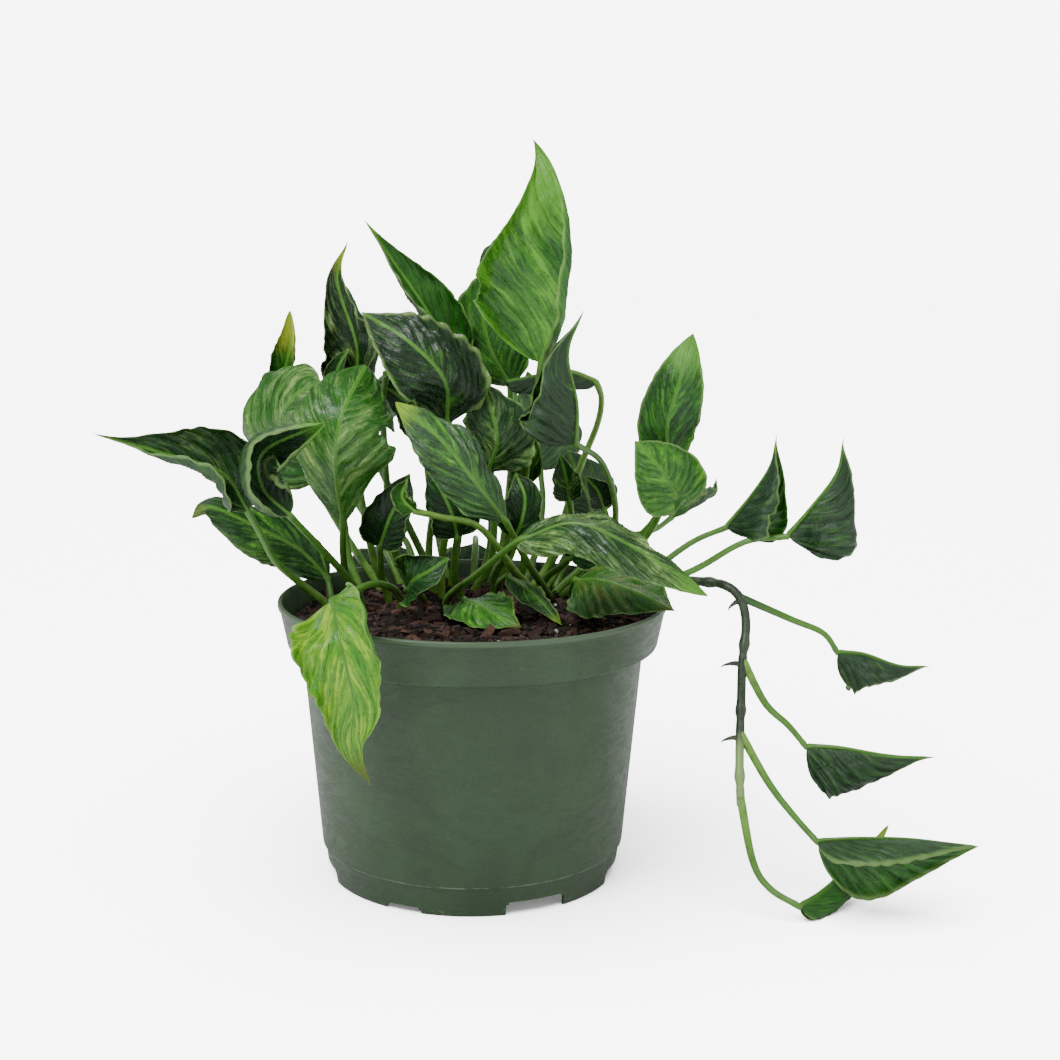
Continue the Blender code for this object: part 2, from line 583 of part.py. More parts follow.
def make_vine(collection, parent):
    """The trailing stem, a swept tube, with a short root stub at each of its nodes."""
    curve = bpy.data.curves.new("vine_line", "CURVE")
    curve.dimensions = "3D"
    curve.bevel_depth = VINE_RADIUS * MM
    curve.bevel_resolution = 2
    curve.use_fill_caps = True
    path = smooth_path(rooted(VINE), VINE_STATIONS)
    spline = curve.splines.new("POLY")
    spline.points.add(len(path) - 1)
    for slot, point in zip(spline.points, path):
        slot.co = (*(point * MM), 1)
    line = add_object("vine_line", curve, collection, parent)
    bpy.context.view_layer.update()
    mesh = bpy.data.meshes.new_from_object(line.evaluated_get(bpy.context.evaluated_depsgraph_get()))
    bpy.data.objects.remove(line, do_unlink=True)
    bm = bmesh.new()
    bm.from_mesh(mesh)
    bmesh.ops.remove_doubles(bm, verts=bm.verts, dist=0.00001)
    bmesh.ops.recalc_face_normals(bm, faces=bm.faces)
    bm.to_mesh(mesh)
    bm.free()
    mesh.materials.clear()
    vine = add_object("trailing_stem", mesh, collection, parent, material("stem_green", (0.05, 0.075, 0.04), 0.5))
    stubs = new_collection("stem_stubs")
    for i, (root, tip) in enumerate(STUBS):
        root, tip = np.array(root, float), np.array(tip, float)
        along = unit(tip - root)
        side = unit(np.cross(along, (0, 0, 1)))
        rings = [round_ring(root, side, np.cross(side, along), 1.1),
                 round_ring(tip, side, np.cross(side, along), 0.35)]
        add_cutter(f"stub_{i + 1}", rings_mesh(f"stub_{i + 1}", rings), stubs, parent)
    join = vine.modifiers.new("stubs", "BOOLEAN")
    join.operation = "UNION"
    join.solver = "EXACT"
    join.operand_type = "COLLECTION"
    join.collection = stubs
    return vine


def make_leaf(name, leaf, collection, parent, tint):
    return add_object(name, rings_mesh(name, leaf_rings(leaf)), collection, parent,
                      material(name, tint, 0.35))


def main():
    clear_scene()
    collection = new_collection("potted_pothos_plant")
    axis = bpy.data.objects.new("pot_axis", None)
    collection.objects.link(axis)
    axis.location = (POT_X * MM, POT_Y * MM, 0)
    make_pot(collection, axis)
    rooted_pieces = [(name, leaf_rings(leaf, SOCKET_GAP))
                     for name, leaf in LEAVES.items() if len(leaf.stalk[0]) == 2]
    rooted_pieces.append(("trailing_stem", vine_rings(SOCKET_GAP)))
    make_soil(collection, axis, rooted_pieces)
    make_vine(collection, axis)
    for i, (name, leaf) in enumerate(LEAVES.items()):
        shade = 0.8 + 0.1 * (i % 5)
        make_leaf(name, leaf, collection, axis, (0.035 * shade, 0.13 * shade, 0.02 * shade))


main()
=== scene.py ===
"""The looks of the potted pothos: crinkled, marbled leaves, a moulded pot and barky peat.

Lengths are in millimetres from the pot's axis at its foot.  The leaf table and the curves
below it are those of the solids; here each blade is a fine sheet with veins, blisters and a
rolled edge.
"""
import json
import math
import random
from collections import namedtuple

import bmesh
import bpy
import numpy as np
from mathutils import Euler, Matrix, Vector, noise

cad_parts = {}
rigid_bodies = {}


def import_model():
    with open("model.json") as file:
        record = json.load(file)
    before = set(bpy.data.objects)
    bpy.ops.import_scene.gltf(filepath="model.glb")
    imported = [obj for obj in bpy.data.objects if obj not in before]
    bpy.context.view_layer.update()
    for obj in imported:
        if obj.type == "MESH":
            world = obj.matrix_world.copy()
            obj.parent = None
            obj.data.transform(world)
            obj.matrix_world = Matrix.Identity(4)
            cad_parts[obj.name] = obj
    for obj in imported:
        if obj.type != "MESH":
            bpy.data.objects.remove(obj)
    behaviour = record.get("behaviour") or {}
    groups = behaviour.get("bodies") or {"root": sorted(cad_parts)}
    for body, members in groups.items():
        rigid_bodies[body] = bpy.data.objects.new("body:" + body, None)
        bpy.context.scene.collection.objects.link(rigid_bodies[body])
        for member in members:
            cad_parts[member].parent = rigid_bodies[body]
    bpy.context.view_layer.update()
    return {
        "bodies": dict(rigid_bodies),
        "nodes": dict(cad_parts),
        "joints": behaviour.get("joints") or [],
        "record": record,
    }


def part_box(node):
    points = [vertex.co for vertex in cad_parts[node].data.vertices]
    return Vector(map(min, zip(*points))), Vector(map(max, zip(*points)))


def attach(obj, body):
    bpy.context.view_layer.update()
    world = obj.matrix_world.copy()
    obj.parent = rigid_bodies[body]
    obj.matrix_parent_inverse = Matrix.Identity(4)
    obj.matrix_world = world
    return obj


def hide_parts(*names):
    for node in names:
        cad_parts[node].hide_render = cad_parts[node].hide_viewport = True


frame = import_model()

MM = 0.001
POT_LOW, POT_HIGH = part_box("pot")
AXIS = Vector(((POT_LOW.x + POT_HIGH.x) / 2, (POT_LOW.y + POT_HIGH.y) / 2, 0))

# ------------------------------ driving dimensions, mm
POT_HEIGHT = POT_HIGH.z / MM
RIM_RADIUS = (POT_HIGH.x - POT_LOW.x) / 2 / MM
BAND_BOTTOM = 99.2
BAND_RADIUS = 78.3
WALL_TOP_RADIUS = 72.5
STEP_HEIGHT = 12.5
STEP_RADIUS = 64.8
SKIRT_TOP_RADIUS = 63.7
FOOT_RADIUS = 62.1
WALL = 1.4
BASE_HEIGHT = 6.0
POT_SEGMENTS = 168
NOTCH_COUNT = 7
NOTCH_FIRST = -65.5
NOTCH_SIZE = (26.0, 5.5)
SMALL_NOTCH_SIZE = (16.0, 2.4)
SMALL_NOTCH = 6
DRAIN_RADIUS = 5.0
DRAIN_RING = 44.0
SOIL_LEVEL = 108.0
SOIL_RADIUS = 77.6
ROOT_DEPTH = 7.0
STALK_FOOT_RADIUS = 1.9
STALK_NECK_RADIUS = 1.3
BLADE_ROWS = 76
BLADE_COLUMNS = 34
SHEET = 0.24             # half the blade's thickness
VEINS = 9                # lateral veins on each side
VEIN_SWEEP = 0.40        # how far they sweep towards the tip, as a share of the blade's length
VEIN_RIDGE = 0.55        # how far the blade swells between two veins
FOLD_SIZE = (15, 11)     # broad crumples, along and across the blade
FOLD_HEIGHT = 1.5
BLISTER_SIZE = (5.5, 4.5)
BLISTER_HEIGHT = 0.6
RUFFLE = 0.085           # the margin's waves, as a share of the blade's half width
ROLL = 0.20              # the margin's roll, from ROLL_START of the way out
ROLL_START = 0.72
RAG_LENGTH = 3.4         # bites out of the margin, and how deep they go
RAG = 0.055
STALK_SIDES = 12
STALK_STATIONS = 26
STALK_GROOVE = 0.22
STEM_SIDES = 18
STEM_STATIONS = 150
STUB_SIDES = 10
SOIL_RINGS = 74
SOIL_SEGMENTS = 200

Leaf = namedtuple(
    "Leaf", "stalk rib face width fold cup shoulder taper lobe left right fold_right",
    defaults=(20, 20, 0.6, 1.1, 0.0, 1.0, 1.0, None))

# Every leaf: the way its stalk runs, its midrib from blade base to tip, the direction the
# upper side faces, its flat width, and how it is folded and cupped.  A stalk whose first
# point is (x, y) stands in the soil there; the others start at the trailing stem.
LEAVES = {
    "leaf_far_left": Leaf(
        [(-62, 14), (-75, 12, 122), (-84, 6, 132), (-89, 0, 144)],
        [(-94, -6, 156), (-103, -14, 173), (-125, -22, 182), (-152, -28, 191)],
        (-0.1, -0.7, 0.65), 38, 30, 25, shoulder=0.95, taper=2.1),
    "leaf_left_low": Leaf(
        [(-62, 24)],
        [(-64, 29, 120), (-76, 28, 133), (-97, 22, 146), (-114, 18, 154), (-121, 16, 149)],
        (-0.1, -0.75, 0.6), 29, -8, -30, taper=0.9),
    "leaf_left_face": Leaf(
        [(-54, 36), (-56, 24, 124), (-56, 12, 137)],
        [(-55, 2, 149), (-57, -12, 174), (-54, -14, 197), (-45, 6, 216)],
        (-0.05, -1, 0.1), 62, -10, -30, shoulder=0.95, taper=0.66, left=0.8),
    "leaf_left_round": Leaf(
        [(-50, 43), (-56, 48, 126), (-59, 48, 147)],
        [(-67, 44, 163), (-79, 39, 174), (-84, 33, 189), (-76, 26, 202), (-65, 18, 207)],
        (-0.3, -0.85, 0.3), 47, -8, -12, taper=0.75),
    "leaf_left_curled": Leaf(
        [(-48, 18), (-53, 6, 124), (-64, -8, 141)],
        [(-75, -22, 157), (-86, -20, 168), (-85, -20, 183), (-59, -32, 196)],
        (0.45, -0.88, 0.1), 36, 25, 40, shoulder=0.55, taper=0.9),
    "leaf_yellow_tip": Leaf(
        [(-42, 53), (-58, 60, 133), (-80, 62, 173)],
        [(-85, 58, 196), (-84, 55, 209), (-81, 54, 223), (-81, 52, 236)],
        (-0.3, -0.9, 0), 17, 35, 10, taper=0.9),
    "leaf_hooked": Leaf(
        [(-18, 44), (-19, 44, 119), (-30, 40, 144), (-45, 38, 176)],
        [(-53, 34, 197), (-50, 28, 221), (-58, 26, 250), (-53, 19, 267)],
        (-0.35, -0.9, 0), 33, 22, 15, taper=1.7),
    "leaf_small_point": Leaf(
        [(-36, 40), (-44, 36, 127), (-53, 30, 177)],
        [(-60, 24, 203), (-58, 20, 213), (-53, 18, 222)],
        (-0.2, -0.9, 0.3), 11, 20, 10),
    "leaf_small_curl": Leaf(
        [(-28, 50), (-36, 40, 135), (-39, 25, 191)], [(-37, 14, 212), (-32, 9, 216), (-26, 5, 223)],
        (0, -0.8, 0.6), 14, 20, 10),
    "leaf_small_left": Leaf(
        [(30, 30), (18, 10, 127), (3, -12, 150), (-14, -20, 156)],
        [(-24, -24, 159), (-29, -24, 165), (-27, -22, 172)],
        (-0.2, -0.9, 0.2), 14, 30, 30),
    "leaf_tall_folded": Leaf(
        [(-10, 60), (-7, 56, 132), (0, 40, 185)],
        [(-5, 30, 211), (-19, 26, 236), (-34, 24, 258), (-46, 20, 276)],
        (0.5, -0.8, 0.3), 29, 28, 10, shoulder=0.7, taper=1.6),
    "leaf_centre_dark": Leaf(
        [(-14, 36), (-14, 34, 127), (-9, 22, 163)],
        [(-11, 8, 191), (-12, -6, 211), (-27, -5, 227), (-47, 8, 238)],
        (0.1, -0.85, 0.5), 40, -8, -14),
    "leaf_centre_shade": Leaf(
        [(-20, 57), (-20, 58, 132), (-15, 48, 167)],
        [(-15, 38, 181), (-24, 33, 193), (-34, 29, 202), (-43, 27, 207)],
        (0, -0.9, 0.3), 26, 10, 10),
    "leaf_behind_centre": Leaf(
        [(2, 62), (8, 62, 131), (7, 58, 183)], [(2, 54, 210), (-3, 52, 221), (-8, 50, 231)],
        (-0.2, -0.9, 0.3), 28, 20, 15),
    "leaf_top_second": Leaf(
        [(14, 64), (15, 60, 122), (17, 46, 171)],
        [(16, 32, 205), (7, 28, 222), (4, 28, 241), (11, 30, 259)],
        (-0.35, -0.9, 0.1), 34, -10, -20),
    "leaf_tall_top": Leaf(
        [(10, 50), (19, 44, 135), (24, 24, 178)],
        [(28, 2, 217), (36, -6, 244), (37, -8, 274), (32, -4, 296), (24, 4, 309)],
        (-0.5, -0.85, 0), 79, 15, 22, shoulder=0.62, taper=1.4, right=0.43, fold_right=45),
    "leaf_centre_up": Leaf(
        [(33, 34), (33, 24, 114), (23, -6, 134)],
        [(13, -36, 157), (1, -44, 174), (-13, -42, 191), (-31, -36, 205)],
        (0.1, -0.9, 0.45), 29, -12, -25, shoulder=0.7, taper=0.9),
    "leaf_centre_hang": Leaf(
        [(0, 46), (8, 40, 126), (9, 30, 155)],
        [(6, 18, 169), (10, 8, 184), (7, 8, 199), (3, 14, 209)],
        (0, -1, 0.1), 34, -15, -25),
    "leaf_narrow_dark": Leaf(
        [(20, 56), (23, 50, 124), (22, 44, 146)],
        [(22, 38, 160), (20, 32, 176), (17, 29, 188), (15, 28, 196)],
        (0.3, -0.9, 0), 20, 20, 10),
    "leaf_cupped_dark": Leaf(
        [(40, 40), (58, 34, 127), (62, 24, 151), (55, 10, 174)],
        [(42, -8, 185), (42, -13, 202), (38, -20, 223), (44, -24, 241)],
        (-0.95, -0.25, 0.1), 50, 62, 20, shoulder=0.5, taper=2.0),
    "leaf_rolled": Leaf(
        [(26, 53), (35, 54, 123), (47, 54, 163), (55, 44, 187), (56, 36, 200)],
        [(53, 30, 207), (41, 24, 212), (28, 18, 211), (14, 12, 209)],
        (0, 0.3, -1), 19, 45, 55, shoulder=0.4, taper=0.3),
    "leaf_small_centre": Leaf(
        [(32, 48), (42, 51, 126), (44, 46, 143)], [(43, 42, 153), (41, 38, 164), (38, 36, 175)],
        (-0.1, -1, 0), 18, 25, 10),
    "leaf_small_right": Leaf(
        [(37, 45), (50, 49, 122), (60, 54, 137)], [(59, 52, 148), (56, 50, 156), (50, 48, 163)],
        (0, -1, 0.2), 16, 25, 10),
    "leaf_right_upright": Leaf(
        [(50, 42), (60, 40, 124), (80, 32, 146)],
        [(86, 22, 170), (83, 16, 188), (88, 16, 209), (94, 22, 229)],
        (-0.1, -1, 0), 26, -12, -20, taper=0.9),
    "leaf_right_arrow": Leaf(
        [(46, 28), (62, 24, 122), (76, 10, 145), (80, -1, 157)],
        [(85, -6, 163), (81, -9, 170), (75, -10, 178), (67, -6, 186)],
        (0, -1, 0.1), 30, 5, -10, shoulder=0.4, lobe=0.5),
    "leaf_right_hood": Leaf(
        [(54, 10), (70, 5, 123), (92, 1, 141)],
        [(107, -4, 149), (117, -6, 163), (124, -8, 176), (126, -10, 189)],
        (0.72, -0.5, -0.45), 45, 42, 20, taper=2.1),
    "leaf_right_outer": Leaf(
        [(60, 2), (76, -3, 122), (95, -10, 133), (113, -16, 145)],
        [(130, -20, 148), (139, -22, 160), (149, -22, 175), (151, -24, 190)],
        (0.85, -0.12, -0.5), 50, 58, 15, taper=2.1),
    "leaf_front_long": Leaf(
        [(-12, 20), (-9, 8, 118), (1, -18, 131), (13, -40, 146)],
        [(19, -48, 152), (40, -56, 160), (65, -62, 150), (92, -62, 132)],
        (0.15, -0.6, 0.8), 29, -10, -20, shoulder=0.5, taper=0.9, lobe=0.2),
    "leaf_front_striped": Leaf(
        [(0, 16), (-3, 7, 115)], [(-4, -2, 117.5), (1, -13, 118.5), (9, -23, 116), (20, -31, 112)],
        (0, -0.45, 1), 30, -10, -10, taper=1.2),
    "leaf_front_olive": Leaf(
        [(44, 10), (42, 2, 120)], [(43, -7, 127), (53, -16, 129), (68, -28, 126), (82, -40, 121)],
        (0.1, -0.6, 0.8), 40, -12, -18, taper=1.3),
    "leaf_front_narrow": Leaf(
        [(12, 26), (11, 12, 121)], [(15, 2, 127), (26, -10, 121), (37, -22, 111)],
        (0.3, -0.5, 0.8), 15, -25, 5),
    "leaf_over_rim": Leaf(
        [(-30, 8), (-33, -2, 121), (-40, -30, 130), (-48, -56, 132)],
        [(-54, -70, 132), (-50, -88, 121), (-45, -90, 98), (-46, -86, 79), (-39, -84, 62)],
        (-0.3, -0.95, 0.05), 38, 5, 12, shoulder=0.5, taper=1.4),
    "vine_leaf_1": Leaf(
        [(117, -8, 118), (134, -12, 111), (147, -16, 106)],
        [(153, -18, 98), (164, -20, 97.5), (178, -22, 93.5), (191, -24, 93.5)],
        (0, -0.3, -0.95), 36, 46, 25, shoulder=0.45, taper=1.7),
    "vine_leaf_2": Leaf(
        [(116.9, -17.9, 91.2), (122, -24, 78), (131, -30, 70)],
        [(138, -34, 62), (151, -38, 62.5), (170, -43, 61), (189, -46, 61)],
        (0, 0.05, -1), 43, 60, 12, shoulder=0.5, taper=1.8),
    "vine_leaf_3": Leaf(
        [(114.7, -29.6, 62.6), (122, -38, 48), (131, -46, 37)],
        [(140, -54, 28), (155, -57, 30), (177, -60, 31), (204, -63, 29)],
        (0, -0.6, -0.8), 56, 38, 22, shoulder=0.5, taper=1.2, left=0.64, right=0.94),
    "vine_leaf_4": Leaf(
        [(109.6, -44.8, 39.4), (114, -54, 20), (120, -61, 11)],
        [(131, -68, 6), (142, -58, 8), (158, -41, 14), (176, -26, 25)],
        (0.55, -0.1, -0.8), 21, 60, 35, shoulder=0.35, taper=0.9),
    "leaf_inner_left": Leaf(
        [(-37, 27), (-40, 22, 122), (-40, 14, 132)],
        [(-40, 9, 138), (-36, 4, 150), (-31, 4, 161), (-27, 8, 170)],
        (-0.1, -0.95, 0.2), 26, 20, 15),
    "leaf_inner_low": Leaf(
        [(-21, 21), (-23, 12, 116), (-26, 2, 119)],
        [(-28, -4, 122), (-25, -13, 128), (-18, -17, 133), (-10, -15, 138)],
        (0.1, -0.8, 0.5), 24, 10, 10),
    "leaf_inner_middle": Leaf(
        [(-5, 29), (-8, 22, 122), (-8, 16, 134)],
        [(-7, 12, 142), (-9, 8, 152), (-14, 8, 163), (-20, 12, 171)],
        (0.1, -0.95, 0.2), 27, 18, 12),
    "leaf_inner_shade": Leaf(
        [(9, 38), (10, 30, 122), (15, 20, 133)],
        [(18, 15, 141), (21, 11, 150), (22, 12, 160), (18, 18, 169)],
        (-0.2, -0.95, 0.1), 24, 20, 12),
    "leaf_inner_right": Leaf(
        [(29, 40), (33, 33, 120), (38, 24, 126)],
        [(42, 19, 131), (47, 15, 138), (53, 14, 145), (58, 17, 153)],
        (0.1, -0.9, 0.4), 26, 15, 10),
    "leaf_back_left": Leaf(
        [(-33, 59), (-42, 70, 128), (-53, 84, 142)],
        [(-61, 94, 150), (-74, 106, 160), (-91, 112, 165), (-102, 114, 160)],
        (-0.3, 0.5, 0.8), 44, 20, 25),
    "leaf_back_low_left": Leaf(
        [(-25, 63), (-31, 77, 127), (-38, 88, 129)],
        [(-40, 97, 124), (-46, 108, 110), (-52, 112, 86), (-56, 112, 62)],
        (-0.3, 0.9, 0.3), 40, -10, -20),
    "leaf_back_tall": Leaf(
        [(8, 68), (14, 76, 128), (19, 88, 184)],
        [(18, 86, 226), (17, 84, 244), (20, 82, 265), (26, 84, 283)],
        (0.1, 0.98, 0.1), 44),
    "leaf_back_mid": Leaf(
        [(-12, 66), (-16, 78, 128), (-21, 92, 152)],
        [(-23, 98, 168), (-29, 108, 179), (-37, 122, 187), (-44, 138, 175)],
        (-0.1, 0.6, 0.8), 44),
    "leaf_back_centre": Leaf(
        [(24, 64), (30, 76, 126), (33, 92, 144)],
        [(32, 100, 158), (31, 112, 176), (28, 120, 192), (26, 120, 204)],
        (0.2, 0.9, 0.35), 46, 22, 20),
    "leaf_back_right": Leaf(
        [(46, 51), (58, 60, 130), (82, 69, 134)],
        [(93, 78, 139), (100, 89, 145), (107, 102, 147), (113, 114, 141)],
        (0.3, 0.1, 0.95), 36, 20, 25),
    "leaf_back_low_right": Leaf(
        [(38, 57), (48, 68, 128), (60, 82, 129)],
        [(65, 90, 123), (72, 97, 112), (80, 100, 94), (86, 100, 70)],
        (0.5, 0.8, 0.3), 40, -10, -20),
    "leaf_back_drop": Leaf(
        [(0, 68), (1, 78, 124), (1, 90, 127)],
        [(1, 98, 123), (0, 107, 112), (0, 108, 90), (2, 106, 64)],
        (0, 1, 0.25), 38, -10, -15),
    "leaf_back_upright": Leaf(
        [(31, 61), (42, 70, 128), (55, 78, 134)],
        [(56, 80, 140), (54, 84, 148), (48, 88, 160), (44, 86, 170)],
        (0.1, 0.95, 0.2), 34),
}

# The trailing stem leaves the soil, crosses the rim and hangs in front of the pot's right.
VINE = [(62, 20), (64, 19, 116), (72, 16, 122), (86, 12, 123), (98, 4, 124), (107, -4, 124),
        (113, -8, 119), (115, -12, 109), (113, -18, 94), (112, -24, 79), (111, -30, 65),
        (110, -38, 53), (110, -44, 40)]
VINE_RADIUS = 2.1


def unit(vector):
    vector = np.asarray(vector, float)
    return vector / (np.linalg.norm(vector) + 1e-12)


def rooted(path):
    """A path whose first point is (x, y) starts upright in the soil."""
    if len(path[0]) == 3:
        return list(path)
    x, y = path[0]
    return [(x, y, SOIL_LEVEL - ROOT_DEPTH), (x, y, SOIL_LEVEL + 2)] + list(path[1:])


def smooth_path(points, count):
    """Evenly spaced points along a smooth curve through a few set ones."""
    knots = [np.asarray(p, float) for p in points]
    if len(knots) == 2:
        knots.insert(1, (knots[0] + knots[1]) / 2)
    knots = [2 * knots[0] - knots[1]] + knots + [2 * knots[-1] - knots[-2]]
    dense = []
    for a, b, c, d in zip(knots, knots[1:], knots[2:], knots[3:]):
        for t in np.arange(12) / 12:
            dense.append(0.5 * (2 * b + (c - a) * t + (2 * a - 5 * b + 4 * c - d) * t ** 2
                                + (3 * b - a - 3 * c + d) * t ** 3))
    dense = np.array(dense + [knots[-2]])
    length = np.r_[0, np.cumsum(np.linalg.norm(np.diff(dense, axis=0), axis=1))]
    at = np.linspace(0, length[-1], count + 1)
    return np.stack([np.interp(at, length, dense[:, k]) for k in range(3)], -1)


def directions(path):
    run = np.gradient(path, axis=0)
    return run / np.linalg.norm(run, axis=1)[:, None]


def half_width(leaf, u):
    """Share of the full half width: a round shoulder, then a long point."""
    peak = leaf.shoulder / (leaf.shoulder + leaf.taper)
    shape = u ** leaf.shoulder * (1 - u) ** leaf.taper
    return shape / (peak ** leaf.shoulder * (1 - peak) ** leaf.taper)


def blade_frames(leaf, stations):
    """Midrib point, direction, sideways and upper-side direction, and bend at each station."""
    rib = smooth_path(leaf.rib, 60)
    run = directions(rib)
    step = np.linalg.norm(rib[1] - rib[0])
    bend = np.gradient(run, axis=0) / step
    bend = np.array([bend[max(0, i - 4):i + 5].mean(axis=0) for i in range(61)])
    frames = []
    for u in stations:
        i = min(int(u * 60), 59)
        part = u * 60 - i
        point = rib[i] * (1 - part) + rib[i + 1] * part
        along = unit(run[i] * (1 - part) + run[i + 1] * part)
        side = unit(np.cross(along, unit(leaf.face)))
        frames.append((point, along, side, np.cross(side, along), bend[i]))
    return frames


def blade_row(leaf, frame, u, across):
    """One row of the blade's sheet, for an array of places across it from -1 to 1."""
    point, along, side, up, bend = frame
    share = np.abs(across)
    right = across >= 0
    width = leaf.width / 2 * half_width(leaf, u) * np.where(right, leaf.right, leaf.left)
    fold_right = leaf.fold if leaf.fold_right is None else leaf.fold_right
    fold = np.radians(np.where(right, fold_right, leaf.fold))
    cup = math.radians(leaf.cup)
    out = (np.sin(fold + cup * share) - np.sin(fold)) / cup
    rise = (np.cos(fold) - np.cos(fold + cup * share)) / cup
    offset = np.outer(out * width * np.sign(across), side) + np.outer(rise * width, up)
    crowding = offset @ bend
    gathered = (0.6 - 0.3 * np.exp((0.3 - crowding) / 0.3)) / np.maximum(crowding, 0.3)
    offset *= np.where(crowding > 0.3, gathered, 1)[:, None]
    back = leaf.lobe * leaf.width / 2 * share ** 1.6 * max(0, 1 - u / 0.45) ** 1.5
    return point + offset - np.outer(back, along), width


# ------------------------------ leaf colours
DEEP = (0.005, 0.030, 0.006)
DARK = (0.009, 0.060, 0.007)
GREEN = (0.020, 0.125, 0.008)
BRIGHT = (0.050, 0.245, 0.012)
LIGHT = (0.115, 0.36, 0.028)
LIME = (0.28, 0.50, 0.02)
PALE = (0.25, 0.42, 0.11)
YELLOW = (0.55, 0.66, 0.05)
GREY_GREEN = (0.024, 0.078, 0.022)
GREY_DARK = (0.011, 0.040, 0.013)
OLIVE = (0.12, 0.14, 0.02)
STALK_GREEN = (0.075, 0.21, 0.022)
STALK_PALE = (0.17, 0.36, 0.05)
STALK_DARK = (0.035, 0.085, 0.025)

# ground: the blade's main colour; marks: its flecks; share: how much of it they cover;
# tip: how far tip_colour reaches back; under: the underside's colour; roll, ruffle and
# crinkle: how much of each the blade has; rim: width of its pale margin, mm.
Look = namedtuple("Look", "ground marks share tip tip_colour under roll ruffle crinkle rim stalk",
                  defaults=(DARK, LIGHT, 0.3, 0.0, LIME, GREY_GREEN, 1.0, 1.0, 1.0, 0.9, STALK_GREEN))
LOOKS = {
    "leaf_far_left": Look(DARK, PALE, 0.30, 0.1, OLIVE),
    "leaf_left_low": Look(DARK, LIGHT, 0.40, 0.06, OLIVE, GREEN, roll=-0.6),
    "leaf_left_face": Look(GREEN, PALE, 0.40, under=GREEN, roll=-0.6, ruffle=0.4, crinkle=0.8),
    "leaf_left_round": Look(GREEN, PALE, 0.46, roll=-0.5),
    "leaf_left_curled": Look(GREY_DARK, GREEN, 0.25, 0.12, LIGHT, GREY_GREEN, 1.3, 0.3, 0.5, 1.8),
    "leaf_yellow_tip": Look(GREEN, BRIGHT, 0.35, 0.5, YELLOW),
    "leaf_hooked": Look(DEEP, PALE, 0.34, 0.16, YELLOW, crinkle=1.8),
    "leaf_small_point": Look(DARK, BRIGHT),
    "leaf_small_curl": Look(DARK, PALE, 0.4),
    "leaf_small_left": Look(GREEN, stalk=STALK_PALE),
    "leaf_tall_folded": Look(GREEN, BRIGHT, 0.25, 0.04),
    "leaf_centre_dark": Look(DEEP, LIGHT, 0.26, ruffle=0.7, crinkle=1.5, rim=1.5),
    "leaf_behind_centre": Look(GREEN, BRIGHT),
    "leaf_top_second": Look(GREEN, LIGHT, 0.35),
    "leaf_tall_top": Look(GREEN, LIGHT, 0.66, 0.42, LIGHT, GREEN, ruffle=0.4, crinkle=0.7),
    "leaf_centre_up": Look(GREY_GREEN, LIGHT, 0.34, 0.1, roll=-0.5, crinkle=1.3),
    "leaf_centre_hang": Look(DARK, PALE, 0.36),
    "leaf_cupped_dark": Look(DARK, GREEN, under=GREY_DARK),
    "leaf_rolled": Look(GREEN, PALE, 0.4, under=GREY_DARK, stalk=STALK_PALE),
    "leaf_small_centre": Look(DARK, PALE),
    "leaf_small_right": Look(DEEP, GREEN, 0.2),
    "leaf_right_upright": Look(DARK, BRIGHT, 0.5, 0.30, LIGHT, ruffle=0.3, crinkle=0.5),
    "leaf_right_arrow": Look(GREEN, LIGHT, 0.5, 0.05, LIGHT, ruffle=0.5, crinkle=0.8),
    "leaf_right_hood": Look(GREEN, BRIGHT, 0.3, 0.1, LIME, GREY_DARK, crinkle=1.6),
    "leaf_right_outer": Look(DARK, GREEN, under=GREY_DARK, crinkle=2.2),
    "leaf_front_long": Look(DARK, PALE, 0.42, 0.16, LIGHT, GREEN, roll=-0.7, crinkle=1.7),
    "leaf_front_striped": Look(GREEN, LIGHT, 0.5, 0.1, OLIVE),
    "leaf_front_olive": Look(GREEN, OLIVE, 0.45, 0.1, OLIVE),
    "leaf_front_narrow": Look(DARK, LIGHT, 0.35, 0.15, LIME),
    "leaf_over_rim": Look(BRIGHT, LIME, 0.5, 0.16, OLIVE, LIGHT, ruffle=1.6, roll=1.2),
    "vine_leaf_1": Look(DEEP, BRIGHT, under=GREY_DARK, crinkle=2.0),
    "vine_leaf_2": Look(DARK, PALE, 0.35, under=GREY_DARK, crinkle=2.6, ruffle=1.6),
    "vine_leaf_3": Look(GREEN, BRIGHT, 0.35, roll=0.5, ruffle=0.12, crinkle=0.8, rim=2.6),
    "vine_leaf_4": Look(GREEN, PALE, 0.35, 0.2, LIME, GREEN),
    "leaf_inner_low": Look(DARK, BRIGHT),
    # Its deepest ground colour is painted shade.
    "leaf_inner_shade": Look(DEEP, BRIGHT, 0.25),
    "leaf_back_tall": Look(GREEN, PALE, 0.36, 0.1, LIME),
    "leaf_back_mid": Look(GREEN, LIGHT, 0.4),
    "leaf_back_centre": Look(DARK, PALE, 0.4),
    "leaf_back_right": Look(GREEN, LIGHT, 0.36),
    "leaf_back_left": Look(DARK, PALE, 0.36),
}
# Leaves inside the crown get the deepest ground colour: painted shade.
for painted_shade_leaf in ("leaf_centre_shade", "leaf_inner_left", "leaf_inner_middle", "leaf_inner_right"):
    LOOKS[painted_shade_leaf] = Look(DEEP, GREEN)


# ------------------------------ material helpers
def blend(a, b, share):
    return tuple(x + (y - x) * share for x, y in zip(a, b))


def new_material(name):
    mat = bpy.data.materials.new(name)
    mat.use_nodes = True
    return mat, mat.node_tree, mat.node_tree.nodes["Principled BSDF"]


def feed(tree, node, inputs):
    """Gives a node's inputs a value or another node's output each."""
    for key, value in inputs.items():
        if isinstance(value, bpy.types.NodeSocket):
            tree.links.new(value, node.inputs[key])
        else:
            node.inputs[key].default_value = value


